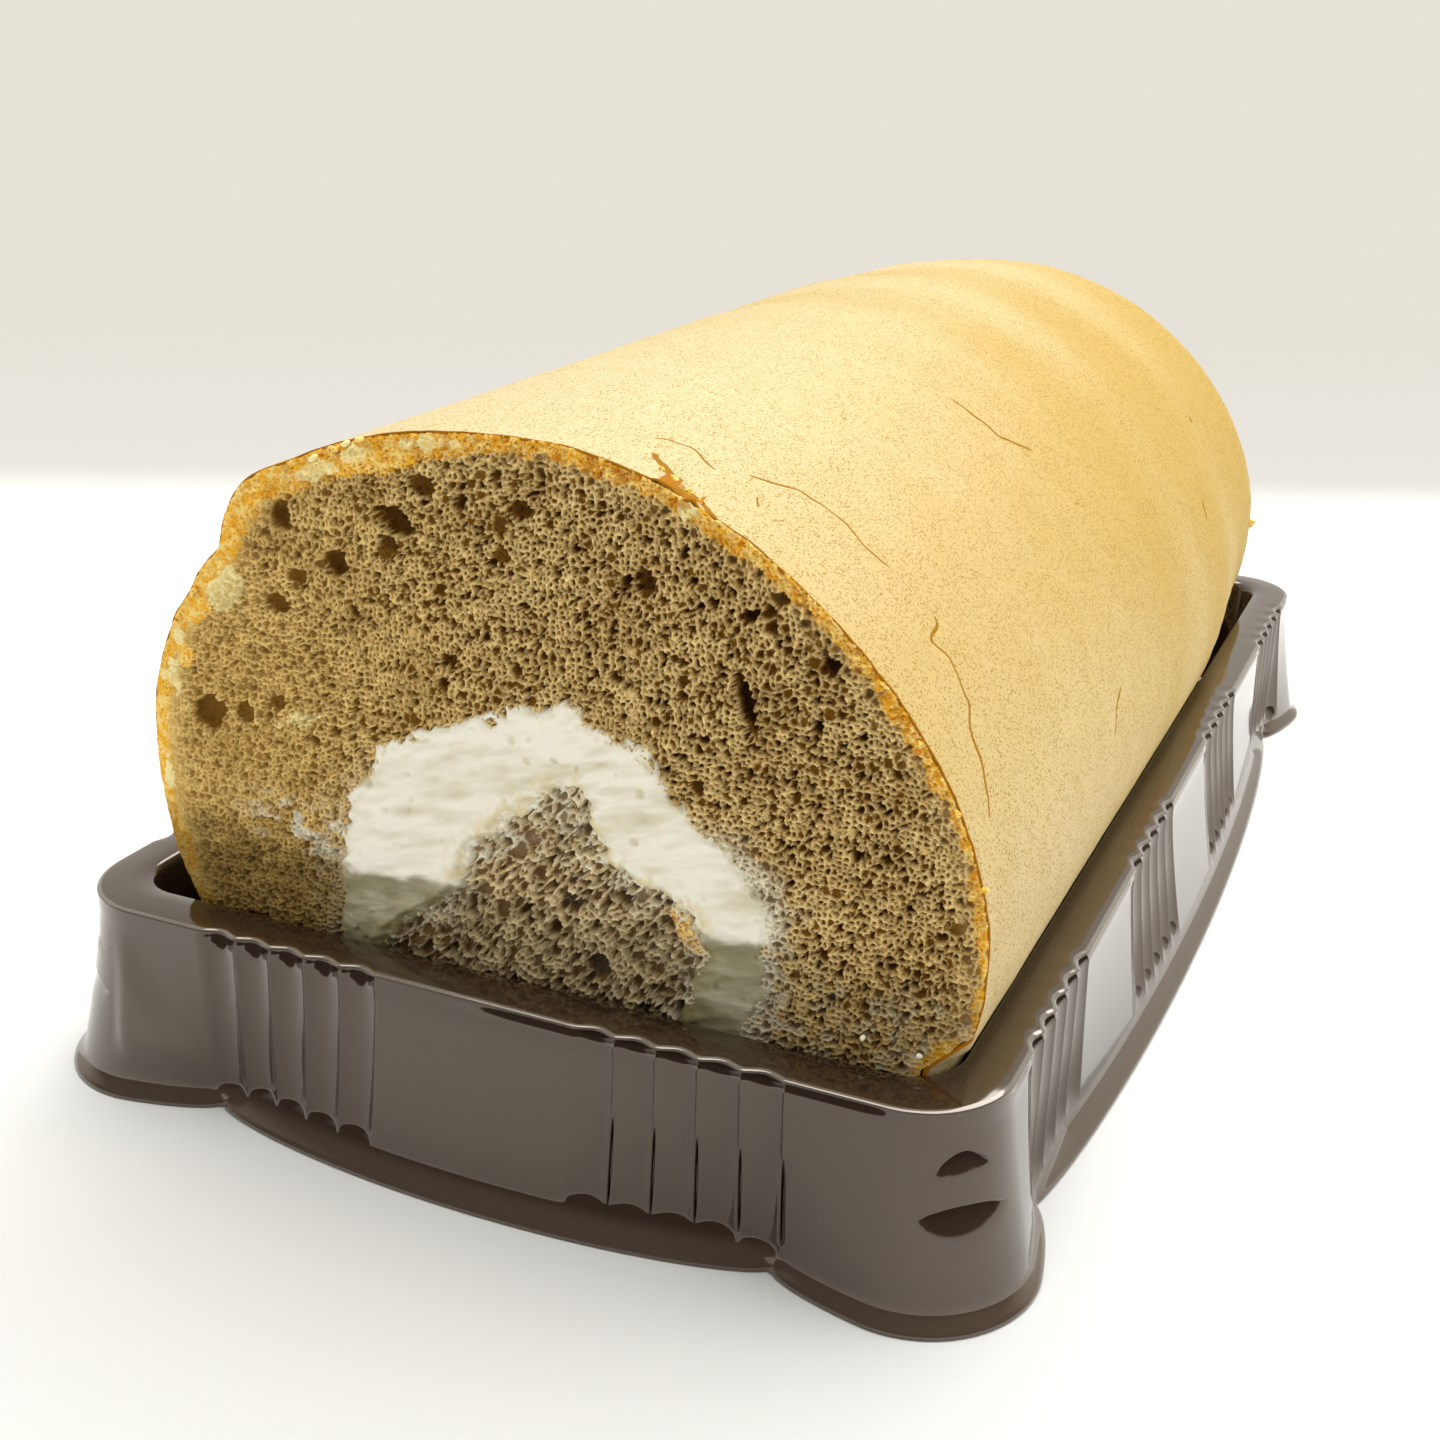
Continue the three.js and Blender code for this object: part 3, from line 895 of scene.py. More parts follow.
@dataclass
class SpongeSkin:
    """The baked skin with the body of the roll: a closed form with a recess at each cut end.

    The wave and the pebble are its broad and its fine unevenness. The flake is a browned one, by
    its girth, place along Y, and half sizes along these.
    """

    form: RollForm
    wall: float = 0.3
    recess: float = 3.6
    columns: int = 410
    rows: int = 216
    wave: float = 0.22
    wave_size: float = 9.0
    pebble: float = 0.08
    pebble_size: float = 2.0
    flake: tuple[float, float, float, float] = (15.8, -88.0, 2.7, 1.8)
    cracks: tuple[Crack, ...] = (
        Crack(((10.2, -81.2), (11.0, -82.4), (13.0, -83.6), (15.2, -86.3), (17.9, -88.6)),
              0.6, 0.3),
        Crack(((14.6, -85.2), (17.0, -85.6), (19.4, -86.8), (21.0, -88.4)), 0.5, 0.3),
        Crack(((8.2, -77.4), (9.7, -76.3), (11.7, -76.1), (15.4, -78.0)), 0.2, 0.3),
        Crack(((18.1, -75.4), (19.8, -74.1), (22.6, -71.7), (24.9, -71.0), (27.7, -70.7),
               (31.0, -71.9), (34.5, -71.0)), 0.26, 0.4),
        Crack(((20.7, -78.3), (21.6, -80.5)), 0.2, 0.3),
        Crack(((40.4, -70.5), (41.4, -71.5), (42.0, -74.6), (44.7, -73.7), (46.3, -74.6),
               (48.8, -75.4), (51.0, -77.8), (55.2, -79.5), (58.9, -81.9)), 0.3, 0.5),
        Crack(((21.6, -22.1), (25.4, -21.8), (29.4, -21.4), (30.2, -20.4), (33.3, -17.0)),
              0.35, 0.4),
        Crack(((62.2, -31.8), (63.4, -33.8), (67.2, -37.2)), 0.3, 0.3),
        Crack(((54.3, 31.9), (57.3, 30.0)), 0.5, 0.6),
        Crack(((44.2, 51.6), (45.0, 51.2)), 0.7, 0.6),
        Crack(((17.0, -47.9), (17.6, -47.7)), 0.5, 0.4),
    )

    def _angles(self) -> Array:
        """The columns' angles, three times as dense above the tray as inside it.

        Returns:
            An angle for each column.
        """
        angle, girth = self.form.girth_table()
        above = self.form.outline(angle)[:, 1] > self.form.rim_height - 2.0
        weight = np.where(above, 1.0, 0.33)
        run = np.concatenate([[0.0], np.cumsum(np.abs(np.diff(girth)) * weight[1:])])
        return np.interp(np.arange(self.columns) / self.columns * run[-1], run, angle)

    def _distances(self) -> Array:
        """The rows' places along Y, 3.5 times as close at the cut as 70 behind it.

        Returns:
            A distance for each row.
        """
        y = np.linspace(self.form.front + 0.2, self.form.back - 0.2, 2001)
        spacing = 0.3 + 0.75 * ramp(self.form.front + 1.0, self.form.front + 70.0, y)
        spacing = spacing * (1.0 - 0.5 * ramp(self.form.back - 6.0, self.form.back, y))
        run = np.concatenate([[0.0], np.cumsum(1.0 / spacing[1:])])
        return np.interp(np.linspace(0.0, run[-1], self.rows), run, y)

    def _relief(self, unrolled: Array) -> tuple[Array, ...]:
        """Sinks the cracks into the skin.

        A crack's depth falls as a bell with the distance from its line. Its sign changes
        across the line, so that a shader finds the line itself between two points.

        Args:
            unrolled: Each point's distance round the outline from the top, and along Y.

        Returns:
            How deep each point sinks, its signed distance from the nearest crack in half
            widths, and a mask that fades out beside and beyond the crack.
        """
        wobble = [layered_noise(unrolled, 3.0, 2, seed) for seed in (91, 95)]
        place = unrolled + 0.5 * np.stack(wobble, axis=-1)
        sink = np.zeros(unrolled.shape[:-1])
        nearest = np.full_like(sink, 40.0)
        width = np.full_like(sink, self.cracks[0].width)
        mask = np.zeros_like(sink)
        for k, crack in enumerate(self.cracks):
            path = np.array(crack.path)
            away, along = to_path(place, path)
            strength = np.clip(0.8 + 0.6 * soft_noise(unrolled, 2.2, 60 + k), 0.0, 1.0)
            ends = ramp(0.0, 0.25, along) * ramp(len(path) - 1.0, len(path) - 1.25, along)
            bell = np.exp(-((away / (1.2 * crack.width + 0.25)) ** 2)) * strength
            sink = np.maximum(sink, 0.4 * crack.depth * bell)
            closer = np.abs(away) < np.abs(nearest)
            nearest = np.where(closer, away, nearest)
            mask = np.where(closer, ends * ramp(2.4, 1.4, np.abs(away)) * strength, mask)
            width = np.where(closer, crack.width, width)
        return sink, 2.0 * nearest / width, mask

    def _flaked(self, unrolled: Array) -> tuple[Array, Array]:
        """The browned flake: a ragged oval.

        Args:
            unrolled: Each point's distance round the outline from the top, and along Y.

        Returns:
            A mask that is 1 on the flake, and how far each point is lifted.
        """
        gap = (unrolled - self.flake[:2]) / self.flake[2:]
        away = np.hypot(gap[..., 0], gap[..., 1])
        mask = ramp(1.1, 0.7, away + 0.4 * layered_noise(unrolled, 1.3, 2, 97))
        return mask, mask * (0.3 + 0.5 * layered_noise(unrolled, 0.7, 2, 98))

    def _tan(self, x: Array, y: Array, girth: Array) -> Array:
        """How tan each point is: more to the far right and low on the left, with painted shade in
        rings behind.

        Args:
            x: Place across the roll, for each point.
            y: Place along it.
            girth: Distance round the outline from the top.

        Returns:
            A share from about 0 to 1.
        """
        tan = 0.66 * ramp(-8.0, 48.0, girth) + 0.42 * ramp(-70.0, 40.0, y)
        tan = tan - 0.3 * ramp(44.0, 74.0, girth) + 0.45 * ramp(-30.0, -80.0, girth)
        # The rings are painted shade, darker in the ripples' dips.
        return tan + 0.16 * self.form.waves(x, y) * ramp(-20.0, 20.0, y)

    def build(self, finish: bpy.types.Material) -> bpy.types.Object:
        """Makes the skin.

        The lateral rows follow the form. At each end the wall turns in by its thickness and
        back into the recess, where rings shrink to a pole.

        Args:
            finish: The skin's material.

        Returns:
            The closed mesh object.
        """
        form = self.form
        angle = self._angles()
        girth = np.interp(angle, *form.girth_table())
        grid_angle, grid_y = np.meshgrid(angle, self._distances())
        grid_girth = np.broadcast_to(girth, grid_y.shape)
        unrolled = np.stack([grid_girth, grid_y], axis=-1)
        points = form.section(grid_angle, grid_y)
        sink, crack, cracked = self._relief(unrolled)
        wave = self.wave * layered_noise(unrolled * (0.5, 1.0), self.wave_size, 3, 21)
        wave += self.pebble * layered_noise(unrolled, self.pebble_size, 2, 31)
        wave *= ramp(form.rim_height, form.rim_height + 5.0, points[..., 2])
        flake, lifted = self._flaked(unrolled)
        points = self._pushed(points, sink + wave - lifted)
        ragged = 0.3 * layered_noise(np.stack([girth, 0.0 * girth], axis=-1), 1.6, 3, 41)
        near = ramp(form.front + 3.0, form.front, grid_y)
        points[..., 1] += near * np.maximum(ragged, 0.0)
        tan = self._tan(points[..., 0], grid_y, grid_girth)
        crust = np.maximum(ramp(0.6, 0.1, grid_y - form.front), flake)
        surface = Surface("sponge_skin")
        body = surface.add_points(points, crack=crack, cracked=cracked, tan=tan, crust=crust)
        surface.grid(body[:, ::-1], wrapped=True)
        for row, way in ((0, 1), (-1, -1)):
            edge = points[row]
            loops = [body[row]]
            for inset, back in ((0.1, 0.0), (self.wall, 0.12), (self.wall, self.recess)):
                ring = self._pushed(edge, np.full(len(edge), inset))
                ring[:, 1] = edge[:, 1] + way * back
                loops.append(surface.add_points(ring, crust=1.0))
            middle = edge.mean(axis=0)
            middle[1] = edge[:, 1].mean() + way * self.recess
            loops.append(surface.add_points(middle + 0.6 * (ring - middle)))
            surface.grid(np.stack(loops)[::way], wrapped=True)
            surface.fan(loops[-1][::way], middle)
        return surface.build(finish)

    def _pushed(self, points: Array, depth: Array) -> Array:
        """Moves points towards the roll's middle line.

        Args:
            points: The points.
            depth: How far each moves.

        Returns:
            The moved points.
        """
        inward = np.stack([self.form.centre_x - points[..., 0], np.zeros_like(depth),
                           self.form.centre_z - points[..., 2]], axis=-1)
        inward /= np.linalg.norm(inward, axis=-1, keepdims=True)
        return points + inward * depth[..., None]


# ---- cut ends ----------------------------------------------------------------


@dataclass(frozen=True)
class Spot:
    """A ragged oval in the cut: place, size, lean, and how deep its air hole or high its patch."""

    x: float
    z: float
    wide: float
    tall: float
    lean: float = 0.0
    depth: float = 2.2


@dataclass(frozen=True)
class CreamBand:
    """The cream's arch in XZ: points of its outer border, each with one across on its inner."""

    pairs: tuple[tuple[float, float, float, float], ...] = (
        (-20.9, 15.0, -15.9, 15.0),
        (-20.6, 22.0, -15.9, 22.0),
        (-20.2, 26.5, -12.0, 26.3),
        (-20.5, 31.0, -7.6, 29.4),
        (-19.3, 35.2, -5.3, 31.6),
        (-18.0, 40.0, -4.9, 35.0),
        (-14.6, 44.4, -1.6, 38.3),
        (-9.8, 47.0, 1.4, 41.2),
        (-3.9, 49.2, 4.2, 43.3),
        (0.6, 50.8, 6.3, 44.7),
        (2.9, 53.6, 7.6, 45.2),
        (5.4, 52.4, 8.6, 45.4),
        (7.5, 53.7, 9.4, 45.0),
        (10.4, 51.4, 10.1, 43.6),
        (14.7, 50.4, 10.6, 41.0),
        (18.4, 47.6, 12.2, 38.6),
        (21.2, 45.0, 14.6, 36.8),
        (24.3, 42.2, 17.6, 35.7),
        (27.3, 39.6, 20.4, 34.9),
        (29.4, 35.6, 22.4, 33.0),
        (29.7, 31.0, 23.3, 30.0),
        (29.1, 27.0, 22.0, 27.2),
        (28.2, 22.6, 21.0, 22.6),
        (24.6, 13.6, 17.6, 17.2),
        (13.0, 8.7, 11.2, 13.4),
        (4.0, 8.8, 4.0, 12.3),
    )

    def borders(self, count: int) -> tuple[Array, Array]:
        """Smooth paths along the outer and the inner border, point for point."""
        path = catmull_rom(np.array(self.pairs), count)
        return path[:, :2], path[:, 2:]

    def measured(self, places: Array) -> tuple[Array, Array]:
        """Measures places in XZ against the band.

        A place is within the closed border if a level line from it crosses the border an odd
        number of times.

        Args:
            places: Points in XZ.

        Returns:
            The distance outside the band's border, negative within it, and the side: 1 outside
            the arch and -1 inside it.
        """
        outer, inner = self.borders(76)
        loop = np.concatenate([outer, inner[::-1], outer[:1]])
        away, _ = to_path(places, loop)
        within = np.zeros(places.shape[:-1], bool)
        for (x0, z0), (x1, z1) in zip(loop[:-1], loop[1:]):
            spans = (z0 > places[..., 1]) != (z1 > places[..., 1])
            rise = z1 - z0 if z1 != z0 else 1.0
            within ^= spans & (places[..., 0] < x0 + (places[..., 1] - z0) * (x1 - x0) / rise)
        side, _ = to_path(places, 0.5 * (outer + inner)[::3])
        return np.where(within, -1.0, 1.0) * np.abs(away), np.sign(side)


class End(Enum):
    """Which end of the roll a cut closes: its direction along Y."""

    FRONT = -1.0
    BACK = 1.0


@dataclass
class CutFace:
    """The crumb that shows at one end: closed slabs whose outer side is one height field.

    Attributes:
        steps, parts: Squares, and slabs, along each side of the grid.
        thick, inset: How far back the slabs reach, and their gap to the skin.
        hollow: How far the crumb falls back under the cream.
        strength: How much deeper bubbles are than the foam gives.
        cells: For each size of bubble its pitch, share of the squares, depths and own seed.
        wet_height: Below this the near cut is darkened by painted shade.
        holes, torn, crusted: Large air holes, and patches that stand up.
    """

    form: RollForm
    band: CreamBand
    end: End
    steps: int
    parts: int
    seed: int
    thick: float = 4.4
    inset: float = 0.06
    hollow: float = 2.6
    strength: float = 1.3
    cells: tuple[tuple[float, float, float, float, int], ...] = (
        (0.6, 1.0, 0.25, 0.5, 10),
        (0.95, 0.5, 0.4, 0.75, 20),
        (1.5, 0.03, 0.6, 0.95, 30),
    )
    wet_height: float = 30.5
    holes: tuple[Spot, ...] = ()
    torn: tuple[Spot, ...] = ()
    crusted: tuple[Spot, ...] = ()

    def _disc(self) -> tuple[Array, Array]:
        """A square grid bent to a disc, each square ring becoming a circle.

        For |u| >= |v| the radius is u and the angle (pi/4)(v/u), and otherwise the radius is
        v and the angle pi/2 - (pi/4)(u/v).

        Returns:
            Radius from 0 to 1 and angle of each grid point.
        """
        line = np.linspace(-1.0, 1.0, self.steps + 1)
        u, v = np.meshgrid(line, line)
        wide = np.abs(u) >= np.abs(v)
        reach = np.where(wide, u, v)
        safe = np.where(np.abs(reach) < 1e-9, 1.0, reach)
        turn = np.where(wide, 0.25 * math.pi * v / safe, 0.5 * math.pi - 0.25 * math.pi * u / safe)
        x, y = reach * np.cos(turn), reach * np.sin(turn)
        return np.hypot(x, y), np.arctan2(y, x)

    def _crumb(self, place: Array, core: Array,
               border: Array) -> tuple[Array, Array, Array]:
        """The crumb's bubbles: small cells, with a large one standing in for some of them.

        A cell is depth · sqrt(1 - (1 - s)²) deep, where s rises from 0 at its wall to 1. The
        lump's cells are drawn out along its lean, and noise bends all walls a little. All cells
        are shallower near the skin and towards the left.

        Args:
            place: Points in XZ.
            core: 1 in the lump inside the arch, whose bubbles are larger.
            border: Distance from the outline; the cells close up towards it.

        Returns:
            Depth, how open the crumb is, and how deep the bubble goes as a share.
        """
        seed = self.seed
        rough = layered_noise(place, 0.5, 2, seed + 8)
        along = 0.64 * place[..., 0] + 0.77 * place[..., 1]
        across = 0.64 * place[..., 1] - 0.77 * place[..., 0]
        drawn = np.stack([0.66 * along, 0.92 * across], axis=-1)
        bend = [0.3 * layered_noise(place, 1.0, 3, seed + k) for k in (0, 5)]
        bent = np.where(core[..., None] > 0.5, drawn, place) + np.stack(bend, axis=-1)
        spread = layered_noise(place, 6.0, 2, seed + 9)
        depth = np.zeros_like(core)
        opened = np.zeros_like(core)
        sunk = np.zeros_like(core)
        for pitch, share, low, high, k in self.cells:
            edge, chance = foam(bent, pitch, seed + k)
            wall = 0.02 + 0.05 * rough + 0.015 * pitch
            rise = np.clip((edge - wall) / (0.24 * pitch), 0.0, 1.0)
            dome = np.sqrt(1.0 - (1.0 - rise) ** 2)
            chosen = chance < share + (0.1 * spread + 0.2 * core if share < 1.0 else 0.0)
            luck = lattice(np.floor(chance[..., None] * 1e6), seed + k + 3)
            deep = (low + high * luck) * dome
            taken = ramp(-0.02, 0.08, edge) * chosen
            depth = depth * (1.0 - 0.85 * taken) + deep * taken
            opened = opened * (1.0 - taken) + ramp(wall, wall + 0.1, edge) * taken
            sunk = sunk * (1.0 - taken) + (0.3 + 0.7 * luck) * rise * taken
        pressed = ramp(4.5, 1.0, border) * (0.3 + 0.35 * ramp(-20.0, -34.0, place[..., 0]))
        closed = (1.0 - pressed) * (1.0 - 0.6 * ramp(0.5, 0.1, border))
        closed = closed * (1.0 - 0.28 * ramp(-6.0, -34.0, place[..., 0]))
        return depth * closed + 0.07 * rough, opened * closed, sunk

    def _baked(self, place: Array, border: Array) -> Array:
        """The browned rim, about 1.5 wide, wider at the top left.

        Args:
            place: Points in XZ.
            border: Distance from the outline.

        Returns:
            A mask that is 1 at the outline.
        """
        x, z = place[..., 0], place[..., 1]
        width = 1.55 + 1.3 * ramp(5.0, -12.0, x) * ramp(58.0, 68.0, z) - 0.5 * ramp(36.0, 50.0, x)
        ragged = border + 0.8 * layered_noise(place, 1.8, 3, self.seed + 60)
        return ramp(1.45, 0.5, ragged / width)

    def _smeared(self, place: Array, core: Array, outside: Array,
                 speck: Array) -> Array:
        """Where the knife has wiped cream over the crumb.

        It lies on the lump, most at its top, along the arch's outer border, low on the right,
        and in drawn-out strokes left of the arch.

        Args:
            place: Points in XZ.
            core: 1 in the lump inside the arch.
            outside: Distance outside the cream.
            speck: Fine noise that breaks the film up.

        Returns:
            The film's share from 0 to 1.
        """
        x, z = place[..., 0], place[..., 1]
        wiped = ramp(-0.25, 0.45, speck + 0.7 * ramp(3.2, 0.0, outside)) * ramp(6.0, 0.3, outside)
        on_lump = 0.35 + 0.4 * wiped + 0.5 * ramp(33.0, 38.0, z) * ramp(-0.2, 0.4, speck)
        beside = wiped * (0.2 + 0.7 * ramp(18.0, 26.0, np.abs(x + 1.0))) * ramp(46.0, 40.0, z)
        low_right = 0.5 * ramp(29.0, 33.0, x) * ramp(33.0, 27.0, z) * ramp(0.0, 0.5, speck)
        drag = layered_noise(place * (0.42, 1.0), 1.1, 3, self.seed + 55)
        strokes = ramp(0.0, 0.25, drag) * ramp(17.0, 3.0, outside) * ramp(-19.0, -21.0, x)
        strokes = 1.3 * strokes * ramp(30.0, 32.0, z) * ramp(38.5, 36.0, z)
        film = np.maximum(np.where(core > 0.5, on_lump, beside), low_right)
        return np.clip(np.maximum(film, strokes), 0.0, 1.0)

    def build(self, finish: bpy.types.Material) -> list[bpy.types.Object]:
        """Makes the slabs.

        Depth = bubbles + holes + the hollow under the cream + soft unevenness - patches. The
        grid is parted into equal squares, and each becomes a slab.

        Args:
            finish: The crumb's material.

        Returns:
            The closed mesh objects.
        """
        form, front, seed = self.form, self.end is End.FRONT, self.seed
        radius, angle = self._disc()
        plane = form.front if front else form.back
        rim = form.section(angle, plane)[..., [0, 2]]
        centre = np.array([form.centre_x, form.centre_z])
        spoke = rim - centre
        reach = np.linalg.norm(spoke, axis=-1)
        nibbled = 0.3 * np.clip(layered_noise(rim, 1.3, 3, seed + 65), 0.0, 1.0) * radius**30
        place = centre + spoke * (radius * (1.0 - (self.inset + nibbled) / reach))[..., None]
        border = (1.0 - radius) * reach * 0.93
        x, z = place[..., 0], place[..., 1]
        outside, side = self.band.measured(place)
        edge = outside + 0.8 * layered_noise(place, 2.2, 3, seed + 70)
        core = ramp(0.2, -0.6, side) * ramp(60.0, 48.0, z)
        depth, pore, sunk = self._crumb(place, core, border)
        depth = self.strength * depth * (1.0 + 0.45 * core)
        depth = depth + 0.3 * ramp(0.5, 4.0, border) * layered_noise(place, 10.0, 3, seed + 80)
        # Air holes also deepen the painted shade in the bubbles, through pore and sunk.
        for k, hole in enumerate(self.holes):
            opened = self._opened(place, hole, seed + 90 + k)
            depth = depth * (1.0 - 0.7 * ramp(0.0, 0.3, opened)) + hole.depth * np.sqrt(opened)
            pore = np.maximum(pore, ramp(0.0, 0.25, opened))
            sunk = np.maximum(sunk, ramp(0.0, 0.7, opened) * min(0.4 * hole.depth, 1.0))
        depth = depth + self.hollow * ramp(-0.4, -1.4, edge)
        torn = np.zeros_like(depth)
        for k, patch in enumerate(self.torn):
            lifted = self._opened(place, patch, seed + 110 + k, 0.8)
            depth = depth - patch.depth * lifted
            torn = np.maximum(torn, ramp(0.05, 0.6, lifted))
        crust = self._baked(place, border)
        for k, patch in enumerate(self.crusted):
            shown = self._opened(place, patch, seed + 130 + k)
            depth = depth * (1.0 - 0.6 * ramp(0.0, 0.4, shown)) - patch.depth * shown
            crust = np.maximum(crust, ramp(0.05, 0.5, shown))
        speck = layered_noise(place, 1.4, 3, seed + 50)
        depth = depth + (0.1 + 0.15 * speck) * ramp(0.7, 0.0, border)
        # Painted shade low on the near cut, stronger towards the left.
        wet = ramp(4.5, -2.5, z - self.wet_height - 2.5 * speck)
        # Masks for the crumb's colours; pore and sunk steer the painted shade in the bubbles.
        looks = {
            "pore": pore, "sunk": sunk, "crust": crust, "torn": torn,
            "golden": ramp(20.0, -38.0, x + 0.25 * (z - 40.0)),
            "smear": front * self._smeared(place, core, outside, speck),
            "damp": front * wet * (0.45 + 0.35 * ramp(-14.0, -24.0, x)),
        }
        points = np.stack([x, plane - self.end.value * depth, z], axis=-1)
        cuts = np.linspace(0, self.steps, self.parts + 1).astype(int)
        spans = [slice(low, high + 1) for low, high in zip(cuts[:-1], cuts[1:])]
        made = []
        for number, block in enumerate(((row, column) for row in spans for column in spans), 1):
            name = f"crumb_{self.end.name.lower()}_{number}"
            carried = {key: mask[block] for key, mask in looks.items()}
            made.append(self._slab(name, points[block], carried, plane).build(finish))
        return made

    def _slab(self, name: str, points: Array, looks: dict[str, Array],
              plane: float) -> Surface:
        """Closes one block of the grid behind: its sides taper back to a flat ring and a pole.

        Args:
            name: The piece's name.
            points: The block's points.
            looks: What they carry.
            plane: Where the cut lies along Y.

        Returns:
            The closed surface.
        """
        way = int(self.end.value)
        surface = Surface(name)
        face = surface.add_points(points, **looks)
        surface.grid(face[:, ::-way])
        loop = loop_round(face)
        ring = points.reshape(-1, 3)[loop]
        carried = {key: mask.reshape(-1)[loop] for key, mask in looks.items()}
        middle = 0.5 * (points.min(axis=(0, 1)) + points.max(axis=(0, 1)))
        gap = (middle - ring) * (1.0, 0.0, 1.0)
        span = np.linalg.norm(gap, axis=-1, keepdims=True)
        loops = [loop]
        for inward, start, back in ((0.1, ring[:, 1], 0.12), (0.5, ring[:, 1], 0.3),
                                    (0.9, plane, self.thick)):
            shrunk = ring + gap * (inward / span)
            shrunk[:, 1] = start - way * back
            loops.append(surface.add_points(shrunk, **carried))
        middle[1] = plane - way * self.thick
        surface.grid(np.stack(loops)[::way], wrapped=True)
        surface.fan(loops[-1][::way], middle)
        return surface

    def _opened(self, place: Array, spot: Spot, seed: int, ragged: float = 0.35) -> Array:
        """How far a ragged oval is open: 1 - d², where d is 0 in its middle and 1 at its edge.

        Args:
            place: Points in XZ.
            spot: The oval.
            seed: Random pattern of its edge.
            ragged: How far the edge wanders.

        Returns:
            A share from 0 to 1 for each point.
        """
        gap = place - (spot.x, spot.z)
        along = gap[..., 0] * math.cos(spot.lean) - gap[..., 1] * math.sin(spot.lean)
        across = gap[..., 0] * math.sin(spot.lean) + gap[..., 1] * math.cos(spot.lean)
        away = np.sqrt((2.0 * along / spot.wide) ** 2 + (2.0 * across / spot.tall) ** 2)
        away = away + ragged * layered_noise(place, 1.2, 3, seed)
        return np.clip(1.0 - away**2, 0.0, 1.0)


@dataclass
class Cream:
    """The cream arch along the whole roll, its two ends spread by the knife.

    The ends reach beyond the band by `spread` outside and `tuck` inside. The knife's path leans
    from level by `lean` degrees. Below `wet_height` the near end is darkened by painted shade.
    """

    form: RollForm
    band: CreamBand
    length_steps: int = 560
    width_steps: int = 84
    spread: float = 1.5
    tuck: float = 1.2
    lean: float = 17.0
    wet_height: float = 31.2
    seed: int = 300

    def _ends(self, place: Array, outside: Array, from_lump: Array,
              seed: int) -> tuple[Array, Array]:
        """Depth of the cut cream and how deep its furrows are.

        Strokes are noise drawn out along the knife's path, with crests where it changes sign.
        Bubbles are small pits, a lip rises beside the lump, and the border falls away where it
        meets the crumb.

        Args:
            place: Points in XZ.
            outside: Distance outside the band's border.
            from_lump: Distance from the border with the lump.
            seed: Random pattern.

        Returns:
            Depth behind the cut plane, and the furrows' share from 0 to 1.
        """
        lean = math.radians(self.lean)
        level = place[..., 0] * math.cos(lean) + place[..., 1] * math.sin(lean)
        upright = place[..., 1] * math.cos(lean) - place[..., 0] * math.sin(lean)
        drawn = np.stack([level / 3.6, upright], axis=-1)
        stroke = 1.0 - 2.6 * np.abs(layered_noise(drawn, 2.6, 3, seed))
        streak = layered_noise(drawn, 0.7, 2, seed + 4)
        billow = layered_noise(place, 8.0, 3, seed + 9)
        pits = bubbles(place, 2.6, (0.15, 0.55), 0.3, seed + 13)
        short = np.stack([level / 2.0, upright], axis=-1)
        wander = 1.25 * layered_noise(short, 1.9, 4, seed + 20)
        wander = wander + 0.8 * layered_noise(place, 0.7, 3, seed + 25)
        lip = np.exp(-(((from_lump - 1.0) / 0.8) ** 2)) * ramp(9.0, 3.0, place[..., 0])
        lip = lip * (0.6 + 0.6 * layered_noise(place, 2.0, 2, seed + 30))
        depth = 0.35 * billow + 0.8 * pits - 0.26 * stroke - 0.17 * streak - 0.7 * lip
        edge = outside + wander
        depth = depth + 0.5 * ramp(-0.8, 0.6, edge) + 2.4 * ramp(0.4, 1.1, edge)
        # The furrows' share follows the relief and steers painted shade on the cream.
        furrow = np.clip(0.36 - 0.5 * stroke - 0.45 * streak + 1.2 * pits - 0.3 * lip, 0.0, 1.0)
        return depth, furrow

    def build(self, finish: bpy.types.Material) -> bpy.types.Object:
        """Makes the arch: a front and a back height field over the band and a little beyond,
        joined by its side walls.

        Args:
            finish: The cream's material.

        Returns:
            The closed mesh object.
        """
        outer, inner = self.band.borders(self.length_steps)
        wide = np.linalg.norm(inner - outer, axis=-1, keepdims=True)
        step = (inner - outer) / wide
        share = np.linspace(0.0, 1.0, self.width_steps)[:, None, None]
        place = (outer - step * self.spread) * (1.0 - share) + (inner + step * self.tuck) * share
        outside, _ = self.band.measured(place)
        from_lump = ((1.0 - share) * (wide + self.spread + self.tuck) - self.tuck)[..., 0]
        stain = 0.25 * ramp(1.5, -2.0, np.abs(outside)) + 0.75 * ramp(3.0, 0.0, from_lump)
        strand, blotch = (layered_noise(place * (0.4, 1.0), size, 3, self.seed + seed)
                          for size, seed in ((1.4, 60), (1.1, 65)))
        # Painted shade low on the near end, with a ragged top edge.
        above = place[..., 1] - self.wet_height - 0.04 * place[..., 0]
        damp = ramp(0.9, -0.9, above + 1.3 * strand)
        damp = damp * (0.95 + 0.3 * blotch)
        surface = Surface("cream_arch")
        grids = []
        for plane, toward, wet, seed in ((self.form.front, 1.0, damp, self.seed),
                                         (self.form.back, -1.0, 0.0, self.seed + 40)):
            depth, furrow = self._ends(place, outside, from_lump, seed)
            points = np.stack([place[..., 0], plane + toward * depth, place[..., 1]], axis=-1)
            grids.append(surface.add_points(points, furrow=furrow, stain=stain, damp=wet))
        front, back = grids
        surface.grid(front[:, ::-1])
        surface.grid(back)
        surface.grid(np.stack([loop_round(front), loop_round(back)]), wrapped=True)
        return surface.build(finish)


@dataclass(frozen=True)
class Bit:
    """A loose crumb or a lifted flake: its middle, half sizes, lean, which of the crumb's masks
    it shows, and how dark it is where that is the crust's."""

    x: float
    y: float
    z: float
    long: float
    high: float
    thick: float
    lean: float = 0.0
    look: str = "crust"
    burnt: float = 0.6


